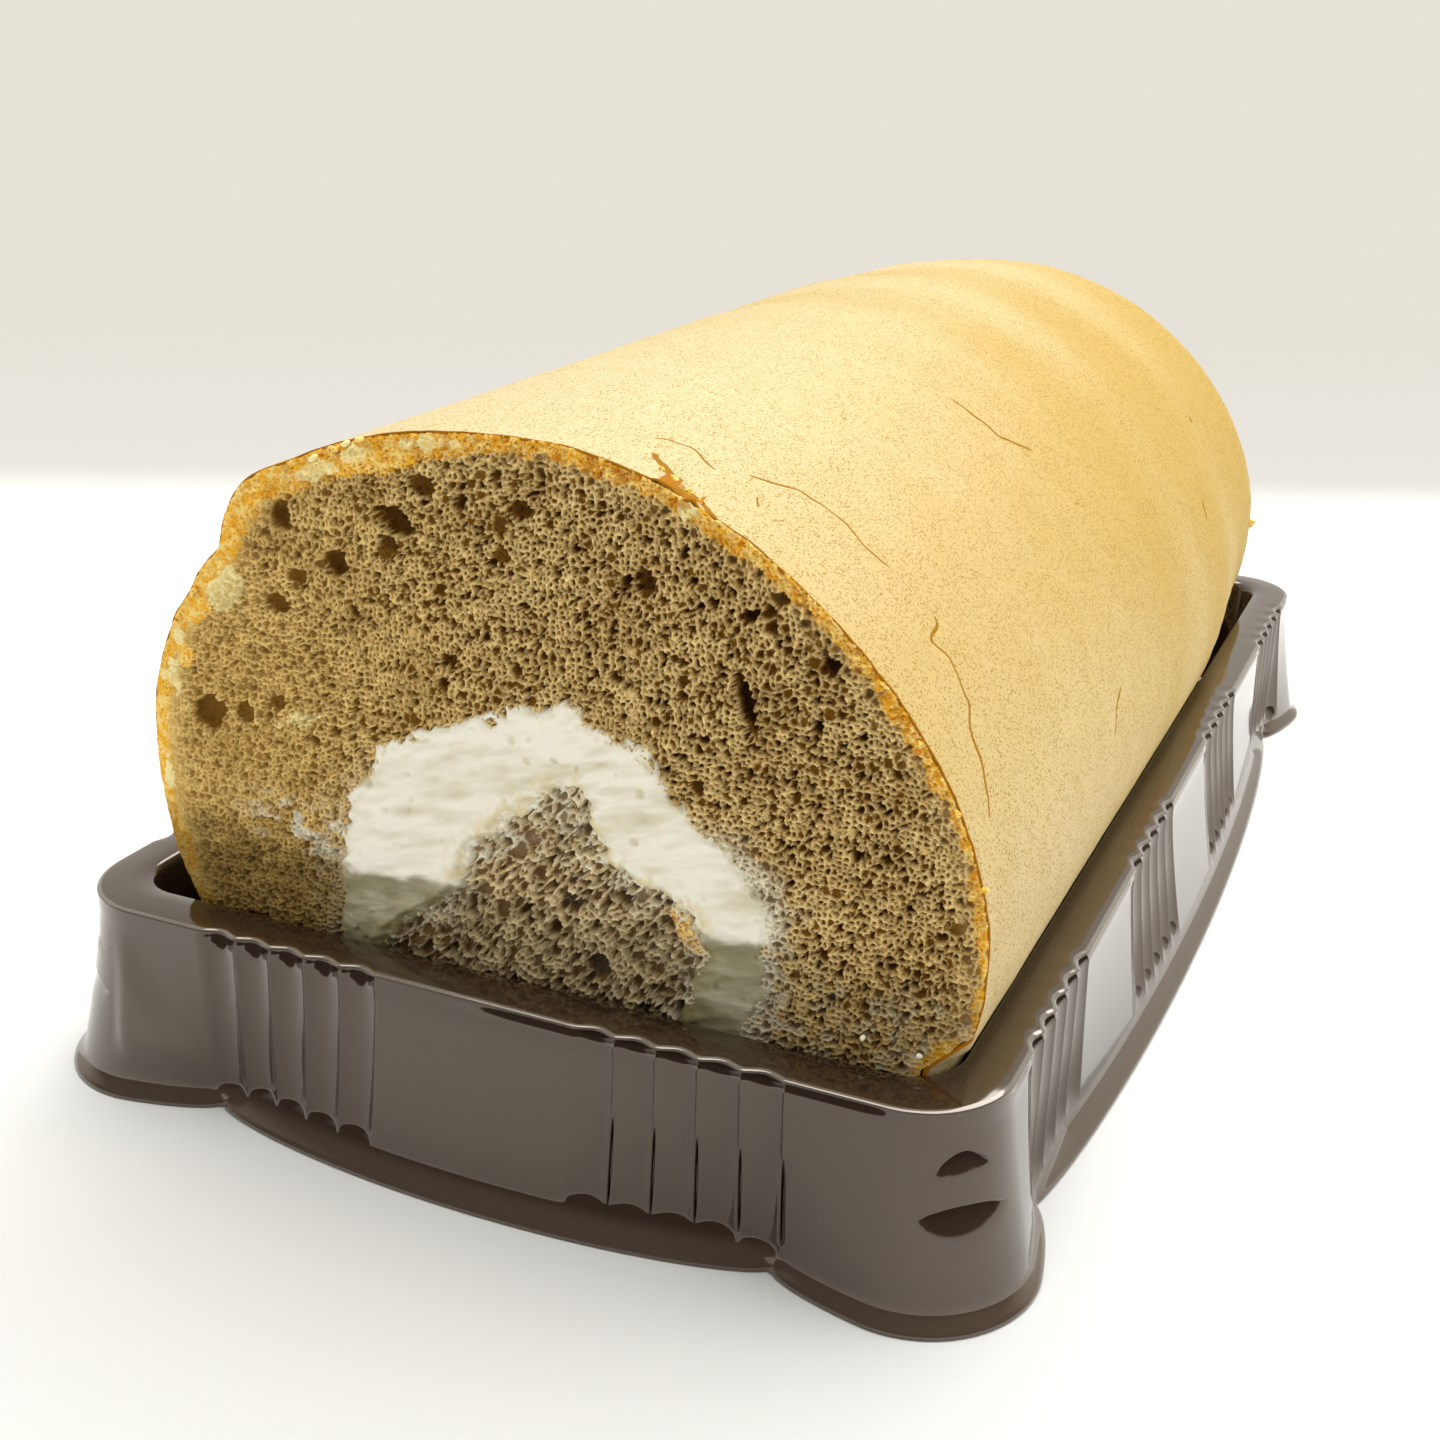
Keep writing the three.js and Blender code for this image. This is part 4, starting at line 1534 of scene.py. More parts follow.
@dataclass
class Crumbs:
    """Crumbs and flakes that the knife left on the roll, each a lumpy closed ball."""

    bits: tuple[Bit, ...]
    rows: int = 6
    columns: int = 10

    def build(self, finish: bpy.types.Material) -> bpy.types.Object:
        """Makes all bits as one mesh.

        A ball's radius is 1 + 0.4·noise, and its rows run from the front pole to the back one.

        Args:
            finish: The crumb's material.

        Returns:
            The mesh object.
        """
        surface = Surface("loose_crumbs")
        down = np.linspace(0.0, math.pi, self.rows + 2)[:, None]
        turn = np.arange(self.columns)[None] / self.columns * 2.0 * math.pi
        ball = np.stack([np.sin(down) * np.cos(turn), -np.cos(down) + 0.0 * turn,
                         np.sin(down) * np.sin(turn)], axis=-1)
        for k, bit in enumerate(self.bits):
            rough = 1.0 + 0.4 * layered_noise(ball + 7.0 * k, 0.8, 2, 400)
            x, y, z = np.moveaxis(ball * rough[..., None] * (bit.long, bit.thick, bit.high), -1, 0)
            cosine, sine = math.cos(bit.lean), math.sin(bit.lean)
            turned = np.stack([bit.x + x * cosine - z * sine, bit.y + y,
                               bit.z + z * cosine + x * sine], axis=-1)
            looks = {bit.look: 1.0, "pore": bit.burnt * (bit.look == "crust")}
            index = surface.add_points(turned[1:-1], **looks)
            surface.grid(index[::-1], wrapped=True)
            surface.fan(index[0], turned[0, 0], **looks)
            surface.fan(index[-1][::-1], turned[-1, 0], **looks)
        return surface.build(finish)


# ---- tray --------------------------------------------------------------------

Stations = dict[str, Array]


@dataclass
class Tray:
    """The moulded tray: a sheet with a ledge, a fluted skirt and a wavy flared foot.

    Its rim is a rounded rectangle. The skirt flares to a lip: most on the corner feet, and in a
    bow on each side between two notches. On the ends, each ridge of the right half has a slit,
    and the flutes of the left half have higher domes.
    """

    half_x: float = 55.0
    half_y: float = 95.0
    height: float = 22.7
    corner: float = 10.0
    ledge: float = 5.8
    cavity_corner: float = 6.0
    draft: float = 1.2
    floor: float = 4.0
    sheet: float = 0.5
    bow_side: float = 5.0
    bow_end: float = 5.2
    flare: float = 4.8
    foot_side: float = 21.5
    foot_end: float = 21.0
    lip_height: float = 2.0
    lip_width: float = 1.3
    lip_rise: float = 1.0
    lip_spread: float = 0.9
    lip_low: float = 0.6
    flare_curve: float = 1.25
    flute_pitch: float = 4.6
    flute_count: int = 5
    flute_depth: float = 0.7
    flute_deeper: float = 0.15
    flank_deeper: float = 0.55
    run_out: float = 0.8
    flank_run_out: float = 3.0
    flute_dome: float = 0.8
    dome_reach: tuple[float, float] = (2.2, 0.8)
    flute_top: float = 19.9
    flute_steps: int = 8
    slit_depth: float = 0.55
    slit_middle: float = 8.3
    slit_half: float = 5.1
    slit_steps: tuple[float, ...] = (-0.26, -0.12, 0.12, 0.26)
    end_groups: tuple[float, ...] = (-23.4, 23.4)
    side_groups: tuple[float, ...] = (-68.0, -22.7, 22.7, 68.0)
    neck: float = 0.5
    wave: float = 0.7
    dimple_depth: float = 0.8
    dimples: tuple[tuple[float, float, float, float], ...] = (
        (16.2, 5.6, 1.8, 0.4), (11.5, 8.2, 1.0, 2.2))
    facet_top: float = 21.3
    facet_lean: float = 0.05
    facet_left: tuple[float, float, float] = (-47.8, 0.06, 1.5)
    facet_right: tuple[float, float, float] = (-46.9, 0.77, 4.0)
    facet_within: tuple[float, float] = (-35.5, -85.0)

    def _straight(self, half: float, groups: tuple[float, ...],
                  gap: float) -> tuple[Array, ...]:
        """Stations along one straight side: fine over the flutes, finest at their ridges.

        Args:
            half: Half the straight side's length.
            groups: Middles of the flute groups along the side.
            gap: Distance between the stations elsewhere.

        Returns:
            The stations' places along the side, the flutes' depth share |sin|^0.75 there, and
            the share of the slit on a ridge.
        """
        run = self.flute_pitch * self.flute_count
        fine = np.linspace(-run / 2, run / 2, self.flute_count * self.flute_steps + 1)
        places = [middle + fine for middle in groups]
        steps = self.flute_pitch * np.arange(1, self.flute_count + 1)
        ridges = np.concatenate([middle - run / 2 + steps for middle in groups])
        places += [ridges + shift for shift in self.slit_steps]
        stops = [-half, *groups, half]
        for k in range(len(stops) - 1):
            low = stops[k] + (run / 2 if k else 0.0)
            high = stops[k + 1] - (run / 2 if k < len(groups) else 0.0)
            count = max(int((high - low) / gap), 2)
            places.append(np.linspace(low, high, count + 2)[1:-1])
        places.append(np.array([-half, half]))
        along = np.unique(np.round(np.concatenate(places), 4))
        share = np.zeros_like(along)
        for middle in groups:
            inside = np.abs(along - middle) < run / 2
            turns = (along - middle + run / 2) / self.flute_pitch
            share = np.where(inside, np.abs(np.sin(math.pi * turns)) ** 0.75, share)
        away = np.min(np.abs(along[:, None] - ridges), axis=1)
        return along, share, np.clip(1.2 - away / 0.2, 0.0, 1.0)

    def _stations(self) -> Stations:
        """All stations round the rim, anticlockwise.

        Returns:
            By name: the side each is on, its share round the corner after that side, its place
            along the side as a share of the straight half, its foot's flare, how far it is in
            the bow between two feet, its flute and slit shares, and its distance from the
            corner's middle.
        """
        rows: dict[str, list[Array]] = {}
        run = self.foot_end + self.foot_side
        end = (self.half_x, self.foot_end, self.bow_end, self.end_groups)
        flank = (self.half_y, self.foot_side, self.bow_side, self.side_groups)
        turn = np.linspace(0.0, 1.0, 32)[1:-1]
        arc = 0.5 * math.pi * self.corner

        def add(name: str, straight: Array, corner: Array | float) -> None:
            """Adds what the stations of one straight side and the corner after it carry."""
            rows.setdefault(name, []).extend([straight, np.broadcast_to(corner, len(turn))])

        for side in range(4):
            (full, foot, bow, groups), other = (flank, end) if side % 2 else (end, flank)
            half = full - self.corner
            notch = full - foot
            along, flute, slit = self._straight(half, groups, 2.0 if side % 2 else 1.0)
            beyond = np.abs(along) - notch
            middle = bow * (1.0 - np.minimum(np.abs(along) / notch, 1.0) ** 2) ** 0.7
            before = foot - self.corner
            round_ = run - before - (other[1] - self.corner)
            add("side", np.full(len(along), side), side)
            add("turn", np.zeros(len(along)), turn)
            add("share", along / half, 1.0)
            add("flare", np.where(beyond > 0, self._foot(np.clip(beyond / run, 0, 1)), middle),
                self._foot((before + turn * round_) / run))
            add("bow", ramp(0.0, -8.0, beyond), 0.0)
            add("flute", flute, 0.0)
            add("slit", slit, 0.0)
            add("from_corner", half - np.abs(along) + arc / 2, (turn - 0.5) * arc)
        stations = {key: np.concatenate(parts) for key, parts in rows.items()}
        rim, _ = self._ring(self.half_x, self.half_y, self.corner, stations)
        return stations | {"x": rim[:, 0], "y": rim[:, 1]}

    def _foot(self, share: Array) -> Array:
        """How far a corner foot flares, as sin^0.6 of its share from notch to notch."""
        return self.flare * np.clip(np.sin(math.pi * share), 0.0, 1.0) ** 0.6

    def _ring(self, half_x: float, half_y: float, corner: float,
              stations: Stations) -> tuple[Array, Array]:
        """A rounded rectangle at the stations.

        Args:
            half_x: Half its width.
            half_y: Half its length.
            corner: Its corners' radius.
            stations: The stations round the rim.

        Returns:
            Places and outward directions in XY.
        """
        quarter = stations["side"] * 0.5 * math.pi
        facing = quarter - 0.5 * math.pi
        outward = facing + stations["turn"] * 0.5 * math.pi
        odd = stations["side"] % 2 == 1
        reach = np.where(odd, half_x, half_y) - corner
        half = np.where(odd, half_y, half_x) - corner
        normal = np.stack([np.cos(outward), np.sin(outward)], axis=-1)
        front = np.stack([np.cos(facing), np.sin(facing)], axis=-1)
        onward = np.stack([np.cos(quarter), np.sin(quarter)], axis=-1)
        place = onward * (half * stations["share"])[:, None] + front * reach[:, None]
        return place + normal * corner, normal

    def _facet(self, stations: Stations, z: Array) -> Array:
        """How far a three-sided facet beside the front left corner stands out.

        It leans, and widens from a point under the rim between two creases, each given by its
        place at the top, its lean, and the width over which it softens.

        Args:
            stations: The stations round the rim.
            z: Height of each.

        Returns:
            The distance at each station.
        """
        down = np.clip(self.facet_top - z, 0.0, None)
        left, left_lean, left_soft = self.facet_left
        right, right_lean, right_soft = self.facet_right
        from_left = np.clip((stations["x"] - left - left_lean * down) / left_soft, 0.0, 1.0)
        from_right = np.clip((right + right_lean * down - stations["x"]) / right_soft, 0.0, 1.0)
        near_x, near_y = self.facet_within
        within = from_left * from_right * ramp(3.0, 8.0, z)
        within = within * (stations["y"] < near_y) * (stations["x"] < near_x)
        return self.facet_lean * down * within

    @staticmethod
    def _arch(stations: Stations, length: float) -> Array:
        """A dimple's rise at each station, 1 in its middle: 1 - (2c/length)²."""
        return np.clip(1.0 - (2.0 * stations["from_corner"] / length) ** 2, 0.0, 1.0)

    def _slit(self, stations: Stations, z: Array | float) -> Array:
        """The slits on the ridges of an end's right half, each a spindle.

        Args:
            stations: The stations round the rim.
            z: Height, one or one for each station.

        Returns:
            The slit's share from 0 to 1 at each station.
        """
        spindle = np.clip(1.0 - ((z - self.slit_middle) / self.slit_half) ** 2, 0.0, 1.0) ** 0.35
        shown = (stations["side"] % 2 == 0) & (stations["x"] > 0.0)
        return stations["slit"] * spindle * shown

    def _outer(self, stations: Stations, z: Array | float,
               marked: bool = True) -> Array:
        """How far the skirt's outer side stands out from the rim's outline at height z.

        The wall's curve, plus the lip's flare below, less the neck under the rim, less the
        flute's channel, which is deepest in a dome under the rim and runs out above the lip,
        less the slit on a ridge and the corner dimples. A dome's top is round: its reach falls
        as sqrt(1 - d²) with the distance d from the flute's middle, which the flute's share
        |sin|^0.75 gives. The neck and a dimple drop in at once at the top and slope out below.
        A dimple's top edge is its tips' height plus the arch's share 1 - (2c/length)², c from
        the corner's middle, and its bottom edge is as far below the tips as the belly's share.

        Args:
            stations: The stations round the rim.
            z: Height, one or one for each station.
            marked: Whether slits and dimples are cut.

        Returns:
            The distance at each station.
        """
        flare, flute, corner = stations["flare"], stations["flute"], stations["from_corner"]
        lip_height = self.lip_height + self.lip_rise * stations["bow"]
        lip_width = self.lip_width + self.lip_spread * stations["bow"]
        down = np.clip((self.flute_top - z) / (self.flute_top - lip_height), 0.0, 1.0)
        out = np.maximum(flare - lip_width, 0.0) * down**self.flare_curve
        lip = np.clip((lip_height - z) / (lip_height - self.lip_low), 0.0, 1.0)
        out = out + np.minimum(flare, lip_width) * lip**1.5
        below = self.height - z
        flank = stations["side"] % 2 == 1
        run_out = lip_height + np.where(flank, self.flank_run_out, self.run_out)
        open_ = ramp(0.5, 0.72, below) * ramp(lip_height - 0.3, run_out, z)
        from_middle = np.sqrt(1.0 - np.clip(flute, 0.0, 1.0) ** (8.0 / 3.0)) / 0.8
        reach = np.where((stations["x"] < 0.0) & ~flank, *self.dome_reach)
        reach = 1.1 + reach * np.sqrt(np.clip(1.0 - from_middle**2, 0.0, 1.0))
        dome = self.flute_dome * ramp(reach, 0.8, below)
        deeper = np.where(flank, self.flank_deeper, self.flute_deeper) * ramp(15.0, 5.0, z)
        out = out - (self.flute_depth + deeper + dome) * flute * open_
        neck = ramp(0.5, 0.7, below) * np.clip((1.5 - below) / 0.8, 0.0, 1.0)
        neck = neck * ramp(6.0, 9.5, np.abs(corner)) * ramp(-4.0, 6.0, stations["x"])
        out = out - self.neck * neck * (1.0 - 0.6 * flute) + self._facet(stations, z)
        if not marked:
            return out
        out = out - self.slit_depth * self._slit(stations, z)
        for tips, length, arch, belly in self.dimples:
            share = self._arch(stations, length)
            top = tips + arch * share
            part = (top - z) / np.maximum(arch * share + belly * share**0.6, 0.05)
            cut = ramp(-0.01, 0.05, top - z) * np.clip(1.0 - part, 0.0, 1.0)
            out = out - self.dimple_depth * np.sqrt(share) * cut
        return out

    def _levels(self) -> tuple[Array, Array]:
        """Heights of the skirt's rows: closest under the rim and over the lip.

        Returns:
            The heights along the sides, and those at the corners, where rows gather at the
            dimples' edges.
        """
        under_rim = np.array([0.56, 0.68, 0.84, 1.05, 1.3, 1.6, 1.9, 2.3, 2.8, 3.4, 4.0])
        at_edge = np.array([0.6, 0.14, 0.03, -0.02, -0.08, -0.4])
        over_lip = [np.linspace(6.0, 4.4, 3), np.linspace(4.1, self.lip_low, 13)]
        dimpled = [tips + at_edge for tips, *_ in self.dimples]
        gathered = np.sort(np.concatenate([np.linspace(18.0, 7.0, 14), *dimpled]))[::-1]
        even = np.linspace(18.0, 7.0, len(gathered))
        return tuple(np.concatenate([self.height - under_rim, middle, *over_lip])
                     for middle in (even, gathered))

    def build(self, finish: bpy.types.Material) -> bpy.types.Object:
        """Makes the sheet: one profile from the floor's middle over the ledge and rim, down the
        skirt, round its lip, and back up the underside at the sheet's thickness.

        Args:
            finish: The plastic.

        Returns:
            The closed mesh object.
        """
        stations = self._stations()
        rim, outward = self._ring(self.half_x, self.half_y, self.corner, stations)
        top, floor, under = self.height, self.floor, self.floor - self.sheet
        low = self.lip_low
        rows: list[Array] = []
        looks: dict[str, list[Array]] = {"thin": [], "rim": [], "groove": []}

        def add(level: Array, z: Array | float, **carried: Array | float) -> None:
            """Adds a row of points at these places in XY and heights."""
            rows.append(np.column_stack([level, np.broadcast_to(z, len(level))]))
            for key, values in looks.items():
                values.append(np.broadcast_to(carried.get(key, 0.0), len(level)))

        def skirt(out: Array | float, z: Array | float,
                  **carried: Array | float) -> None:
            """Adds a row at these distances out from the rim's outline."""
            add(rim + outward * np.broadcast_to(out, len(rim))[:, None], z, **carried)

        def tub(inset: float, z: float) -> None:
            """Adds a row round the cavity, `inset` in from its opening."""
            grow = self.ledge + inset
            corner = max(self.cavity_corner - inset, 1.0)
            add(self._ring(self.half_x - grow, self.half_y - grow, corner, stations)[0], z)

        for inset, z in ((24.0, floor), (self.draft + 3.0, floor), (self.draft + 0.6, floor + 0.4),
                         (self.draft, floor + 1.6), (0.6 * self.draft, 0.5 * (floor + top)),
                         (0.1 * self.draft, top - 1.2), (0.0, top - 0.7), (-0.2, top - 0.25),
                         (-0.6, top)):
            tub(inset, z)
        wavy = self.wave * stations["flute"] ** 2
        skirt(-3.4, top)
        skirt(-1.8 - 0.7 * wavy, top - 0.06)
        # Rows round the rim's edge, marked for its painted highlight.
        for out, drop, edge in ((-0.6, 0.2, 0.0), (-0.4, 0.24, 1.0), (-0.12, 0.36, 1.0),
                                (-0.02, 0.44, 0.5), (0.0, 0.52, 0.0)):
            skirt(out - wavy, top - drop, rim=edge)
        at_corner = ramp(6.5, 4.6, np.abs(stations["from_corner"]))
        for flat, tight in zip(*self._levels()):
            z = flat + (tight - flat) * at_corner
            for tips, length, arch, _ in self.dimples:
                near = np.clip(1.1 - abs(tight - tips) / 3.2, 0.0, 1.0)
                z = z + arch * self._arch(stations, length) * near
            out = self._outer(stations, z)
            if flat > top - 0.6:
                out = np.minimum(out, -wavy)
            skirt(out, z, thin=ramp(3.2, 1.6, flat), groove=self._slit(stations, z))
        foot = self._outer(stations, low)
        for out, z in ((0.1, 0.3), (0.0, 0.0), (-self.sheet, 0.0)):
            skirt(foot + out, z, thin=1.0)
        thicker = 0.6 * ramp(6.0, 4.0, np.abs(stations["from_corner"]))
        for z in (*np.linspace(low, 5.0, 5), *np.linspace(7.0, top - 2.4, 7)):
            skirt(self._outer(stations, z, marked=False) - self.sheet - thicker, z, thin=0.5)
        skirt(-2.4, top - 1.4)
        skirt(-3.4, top - self.sheet)
        for inset, z in ((-0.9, top - self.sheet), (-0.45, top - 0.9),
                         (self.draft - 0.5, floor + 0.6), (self.draft + 3.0, under), (24.0, under)):
            tub(inset, z)
        surface = Surface("fluted_tray")
        carried = {key: np.stack(values) for key, values in looks.items()}
        index = surface.add_points(np.stack(rows), **carried)
        surface.grid(index[::-1], wrapped=True)
        surface.fan(index[0], np.array([0.0, 0.0, floor]))
        surface.fan(index[-1][::-1], np.array([0.0, 0.0, under]))
        return surface.build(finish)


# ---- studio ------------------------------------------------------------------


@dataclass
class Studio:
    """The table, the soft light and the camera."""

    azimuth: float = 24.2348
    elevation: float = 21.5637
    roll: float = 0.795
    lens: float = 45.617
    position: tuple[float, float, float] = (0.090174, -0.233988, 0.118509)
    ambient: Colour = (0.32, 0.315, 0.3)
    mirrored: Colour = (0.05, 0.045, 0.04)
    backdrop: Colour = TableFinish.far

    def camera(self) -> Vector:
        """Places the camera.

        Returns:
            The level direction in which it looks.
        """
        around, up, tilt = map(math.radians, (self.azimuth, self.elevation, self.roll))
        back = Vector((math.sin(around) * math.cos(up), -math.cos(around) * math.cos(up),
                       math.sin(up)))
        right = (-back).cross(Vector((0.0, 0.0, 1.0))).normalized()
        above = right.cross(-back)
        turned = right * math.cos(tilt) + above * math.sin(tilt)
        upright = above * math.cos(tilt) - right * math.sin(tilt)
        data = bpy.data.cameras.new("camera")
        data.lens = self.lens
        data.sensor_width = 36.0
        data.clip_start = 0.01
        data.clip_end = 20.0
        made = bpy.data.objects.new("camera", data)
        bpy.context.scene.collection.objects.link(made)
        pose = Matrix((turned, upright, back)).transposed().to_4x4()
        pose.translation = Vector(self.position)
        made.matrix_world = pose
        bpy.context.scene.camera = made
        return Vector((-math.sin(around), math.cos(around), 0.0))

    def table(self, away: Vector) -> None:
        """Makes the round table top, 8 m across, which ends in the backdrop towards `away`."""
        turn = np.linspace(0.0, 2.0 * math.pi, 96, endpoint=False)
        rings = [np.column_stack([r * np.cos(turn), r * np.sin(turn), 0.0 * turn])
                 for r in (4000.0, 1200.0, 400.0)]
        surface = Surface("table_top")
        index = surface.add_points(np.stack(rings))
        surface.grid(index, wrapped=True)
        surface.fan(index[-1], np.zeros(3))
        surface.build(TableFinish().material(away))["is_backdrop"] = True

    def lamp(self, name: str, place: tuple[float, float, float],
             target: tuple[float, float, float], size: float, power: float, colour: Colour,
             mirrored: bool = False) -> None:
        """Hangs a square soft light that the camera doesn't see.

        Args:
            name: The light's name.
            place: Where it hangs, in metres.
            target: The point that it faces.
            size: Length of its sides, in metres.
            power: Watts.
            colour: Its linear colour.
            mirrored: Whether glossy surfaces show it.
        """
        data = bpy.data.lights.new(name, "AREA")
        data.shape = "SQUARE"
        data.size = size
        data.energy = power
        data.color = colour
        made = bpy.data.objects.new(name, data)
        made.location = place
        made.rotation_mode = "QUATERNION"
        aim = Vector(target) - Vector(place)
        made.rotation_quaternion = aim.to_track_quat("-Z", "Y")
        made.visible_camera = False
        made.visible_glossy = mirrored
        bpy.context.scene.collection.objects.link(made)

    def room(self, away: Vector) -> bpy.types.World:
        """The surroundings: a soft light, seen by gloss as bright behind and dark in front.

        Args:
            away: The level direction in which the camera looks.

        Returns:
            The world.
        """
        world = bpy.data.worlds.new("room")
        world.use_nodes = True
        nodes, join = world.node_tree.nodes, world.node_tree.links.new
        path = nodes.new("ShaderNodeLightPath")
        facing = nodes.new("ShaderNodeVectorMath")
        facing.operation = "DOT_PRODUCT"
        facing.inputs[1].default_value = away
        join(nodes.new("ShaderNodeTexCoord").outputs["Generated"], facing.inputs[0])
        behind = nodes.new("ShaderNodeMapRange")
        behind.inputs["From Min"].default_value = -0.1
        behind.inputs["From Max"].default_value = 0.3
        join(facing.outputs["Value"], behind.inputs["Value"])
        colour = None
        for factor, low, high in (
            (behind.outputs[0], self.mirrored, self.backdrop),
            (path.outputs["Is Glossy Ray"], self.ambient, None),
            (path.outputs["Is Camera Ray"], None, self.backdrop),
        ):
            blend = nodes.new("ShaderNodeMix")
            blend.data_type = "RGBA"
            join(factor, blend.inputs[0])
            for socket, fixed in ((blend.inputs[6], low), (blend.inputs[7], high)):
                if fixed is None:
                    join(colour, socket)
                else:
                    socket.default_value = (*fixed, 1.0)
            colour = blend.outputs[2]
        join(colour, nodes["Background"].inputs["Color"])
        return world

    def build(self) -> None:
        """Sets up the camera, the table, the lights and the surroundings."""
        away = self.camera()
        self.table(away)
        self.lamp("overhead", (0.1, 0.35, 1.15), (0.0, 0.05, 0.0), 1.3, 27.0, (1.0, 0.985, 0.95),
                  mirrored=True)
        self.lamp("window_right", (1.1, 0.25, 0.45), (0.0, 0.0, 0.03), 0.8, 6.0, (1.0, 1.0, 1.0))
        self.lamp("front_fill", (-0.25, -1.1, 0.5), (0.0, -0.05, 0.03), 0.9, 4.0,
                  (1.0, 0.99, 0.96))
        bpy.context.scene.world = self.room(away)
        bpy.context.scene.view_settings.view_transform = "Standard"
        bpy.context.scene.view_settings.look = "None"


# ---- assembly ----------------------------------------------------------------


HOLES = (
    Spot(-25.3, 68.7, 3.4, 3.2),
    Spot(-11.4, 70.0, 4.8, 3.0, 0.3, 2.8),
    Spot(-12.3, 67.3, 2.6, 2.2, 0.0, 1.6),
    Spot(-18.8, 64.5, 3.4, 2.8, 0.0, 2.4),
    Spot(-26.7, 59.3, 3.4, 2.2, 0.0, 1.3),
    Spot(-23.9, 62.5, 2.2, 1.8, 0.0, 1.0),
    Spot(-37.0, 45.3, 4.4, 5.0, 0.0, 2.0),
    Spot(-32.1, 46.1, 2.6, 2.6, 0.0, 1.1),
    Spot(-27.7, 47.9, 2.2, 1.8, 0.0, 0.9),
    Spot(-5.7, 56.3, 2.2, 1.2, 0.0, 1.4),
    Spot(3.0, 72.8, 3.2, 2.0, 0.0, 1.4),
    Spot(-8.0, 74.0, 2.8, 2.2, 0.0, 1.3),
    Spot(0.7, 68.0, 2.6, 1.6, 0.0, 1.0),
    Spot(16.3, 67.5, 2.2, 3.2, 0.0, 1.3),
    Spot(27.0, 65.7, 1.6, 1.6, 0.0, 1.8),
    Spot(30.3, 67.9, 1.4, 1.4, 0.0, 1.4),
    Spot(35.2, 62.1, 2.0, 1.7, 0.3, 2.0),
    Spot(26.8, 57.0, 1.9, 6.4, -0.25, 2.6),
    Spot(20.3, 56.7, 1.4, 1.4, 0.0, 1.4),
    Spot(11.0, 25.2, 3.4, 3.4, 0.0, 2.4),
    Spot(7.6, 32.2, 1.6, 3.4, -0.5, 2.2),
)
FAR_HOLES = (
    Spot(22.0, 64.0, 3.4, 3.0, 0.0, 2.0),
    Spot(-15.0, 66.5, 2.8, 3.4, 0.3, 2.2),
    Spot(-33.0, 48.0, 3.0, 2.4, 0.0, 1.6),
    Spot(34.0, 44.0, 2.2, 4.2, 0.4, 2.0),
    Spot(2.0, 71.0, 2.4, 2.0, 0.0, 1.4),
)
TORN = (
    Spot(-33.0, 59.5, 4.8, 6.4, 0.3, 0.7),
    Spot(-41.4, 49.0, 2.6, 4.6, 0.2, 0.5),
    Spot(-40.0, 53.5, 1.8, 2.6, 0.2, 0.4),
    Spot(-20.5, 74.2, 7.4, 2.2, -0.3, 0.5),
    Spot(-15.6, 76.4, 4.0, 1.6, -0.3, 0.4),
    Spot(-7.0, 78.2, 6.4, 1.4, -0.05, 0.3),
    Spot(20.8, 75.2, 4.0, 1.8, 0.45, 0.4),
    Spot(-25.0, 46.2, 7.0, 1.6, -0.35, 0.2),
    Spot(-43.2, 37.0, 1.8, 6.0, 0.0, 0.3),
)
CRUSTED = (
    Spot(21.2, 31.6, 3.0, 8.0, -0.7, 0.4),
    Spot(-13.6, 75.6, 12.0, 2.6, -0.2, 0.2),
    Spot(-37.0, 57.0, 4.2, 2.8, -0.5, 0.2),
    Spot(-39.2, 51.4, 2.4, 3.6, 0.3, 0.1),
    Spot(-43.6, 42.0, 2.0, 20.0, 0.1, 0.0),
)

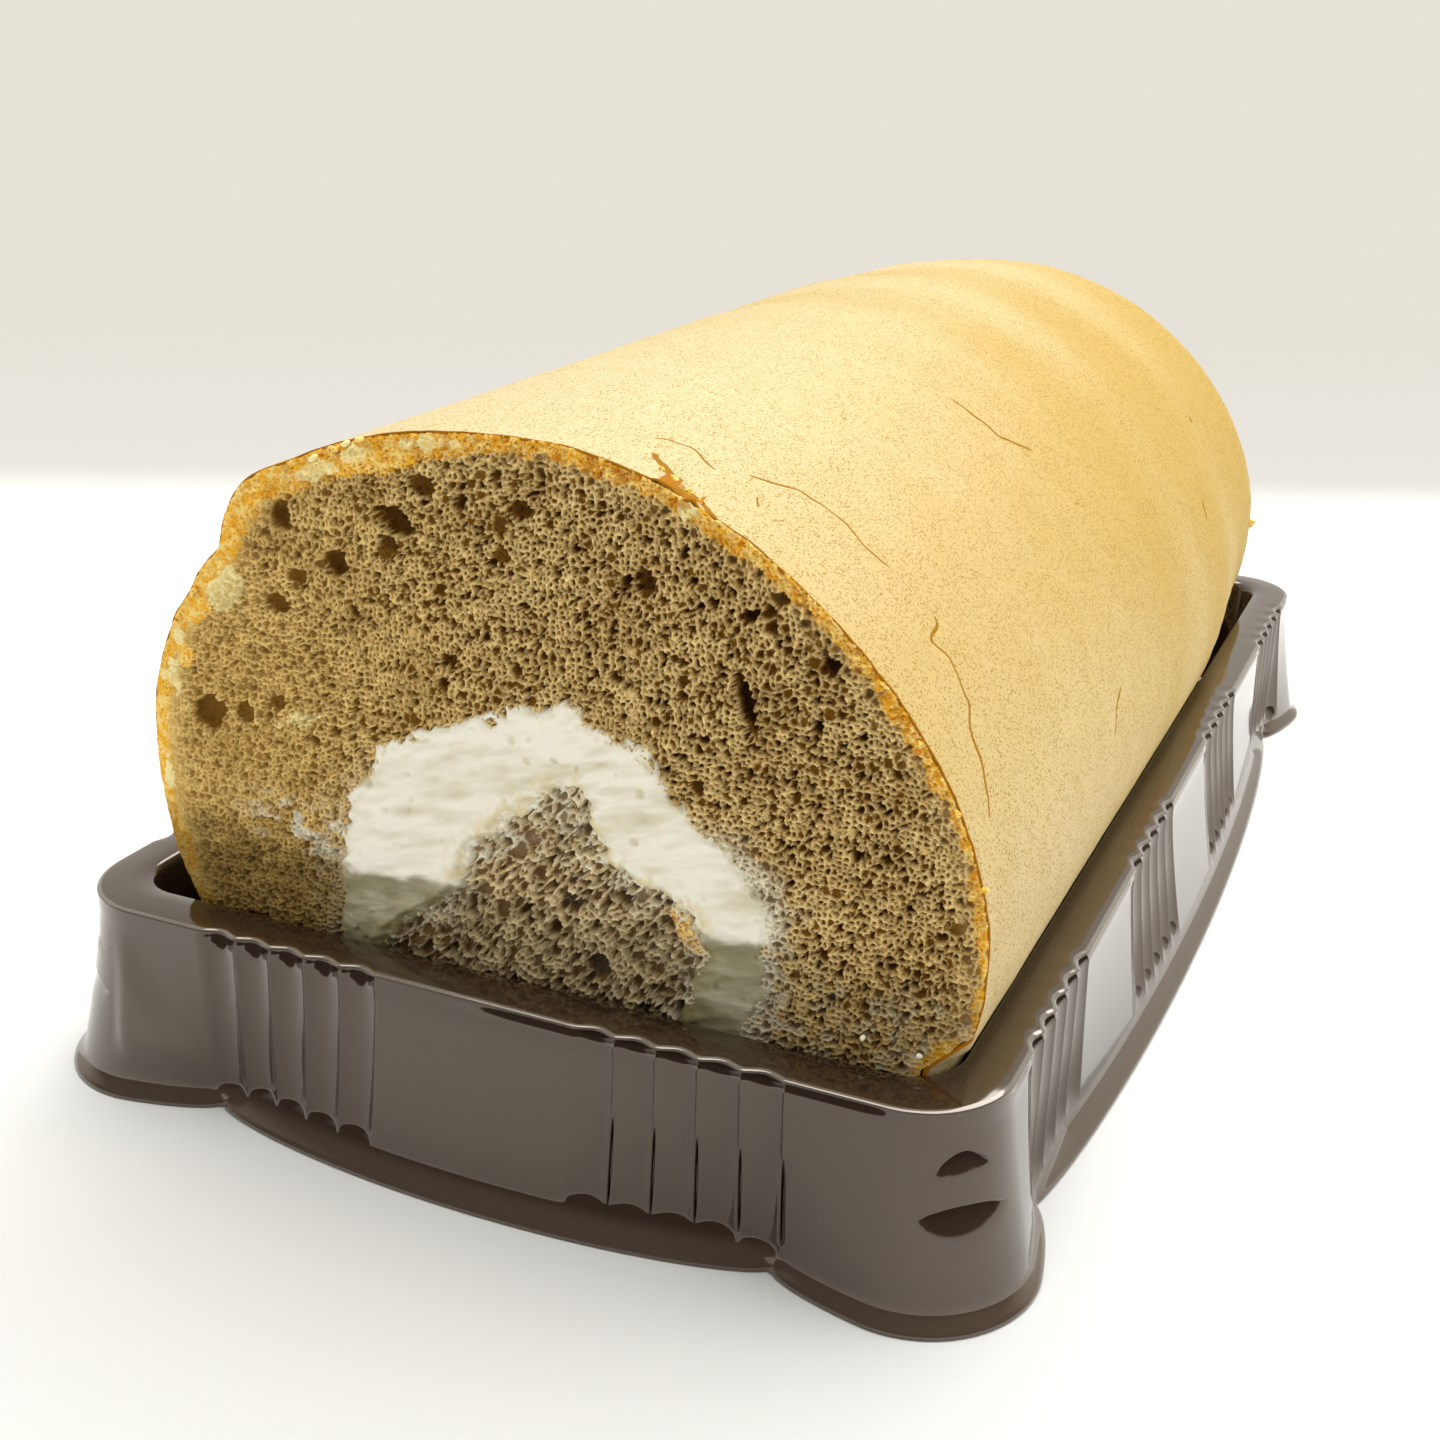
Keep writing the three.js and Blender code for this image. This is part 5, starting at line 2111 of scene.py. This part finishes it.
BITS = (
    Bit(17.9, -87.2, 78.5, 0.45, 0.18, 0.3, -0.5, burnt=1.2),
    Bit(19.4, -87.6, 77.9, 0.6, 0.2, 0.35, -0.45, burnt=1.2),
    Bit(21.0, -87.9, 76.9, 0.55, 0.2, 0.3, -0.5, burnt=1.2),
    Bit(22.3, -87.9, 76.1, 0.4, 0.15, 0.25, -0.55, burnt=1.2),
    Bit(-17.9, -87.9, 76.5, 0.7, 0.35, 0.4, 0.4),
    Bit(-16.4, -87.9, 77.3, 0.6, 0.35, 0.4, 0.5, "torn"),
    Bit(-14.8, -87.8, 77.8, 0.6, 0.3, 0.4, 0.3),
    Bit(-20.4, -88.0, 75.4, 0.7, 0.35, 0.4, 0.45, "torn"),
    Bit(-37.3, -87.9, 59.0, 0.8, 0.35, 0.4, 0.8),
    Bit(-39.7, -87.9, 55.8, 0.7, 0.35, 0.4, 1.1),
    Bit(51.0, -87.5, 43.0, 0.45, 0.35, 0.35),
    Bit(48.1, -87.9, 50.2, 0.45, 0.3, 0.3, -0.9),
    Bit(44.2, -88.0, 56.4, 0.35, 0.25, 0.25, -0.9),
    Bit(40.2, -88.2, 24.9, 0.35, 0.25, 0.25, 0.9, "smear"),
    Bit(46.0, -88.1, 24.4, 0.35, 0.3, 0.25, 0.2, "smear"),
    Bit(48.0, 77.1, 36.6, 1.3, 0.8, 0.6, 0.7),
    Bit(48.8, 77.0, 37.3, 0.5, 0.35, 0.35, 0.2, "torn"),
)


def dress(piece: bpy.types.Object, slot: str, *nodes: str) -> None:
    """Fixes a piece to the part and says what it stands for.

    Args:
        piece: The finished piece.
        slot: The material slot that it stands for, which is logged.
        *nodes: The frame's nodes that it replaces.
    """
    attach(piece, "root")
    if nodes:
        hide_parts(*nodes)
    LOG.info("%s rides on root, slot %s", piece.name, slot)


def main() -> None:
    """Builds the studio and every piece of the part."""
    logging.basicConfig(level=logging.INFO, format="%(message)s")
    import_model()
    frame_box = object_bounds()
    Studio().build()
    form = RollForm()
    band = CreamBand()
    crumb = CrumbFinish().material()
    dress(SpongeSkin(form).build(SkinFinish().material()), "sponge", "sponge")
    cuts = (
        CutFace(form, band, End.FRONT, 700, 3, 100, holes=HOLES, torn=TORN, crusted=CRUSTED),
        CutFace(form, band, End.BACK, 380, 2, 600, holes=FAR_HOLES),
    )
    for cut in cuts:
        for slab in cut.build(crumb):
            dress(slab, "sponge")
    dress(Crumbs(BITS).build(crumb), "sponge")
    dress(Cream(form, band).build(CreamFinish().material()), "cream", "cream")
    dress(Tray().build(TrayFinish().material()), "tray", "tray")
    boxes = {"frame": frame_box, "visual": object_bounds()}
    {key: [list(corner) for corner in box] for key, box in boxes.items()}


if __name__ == "__main__":
    main()
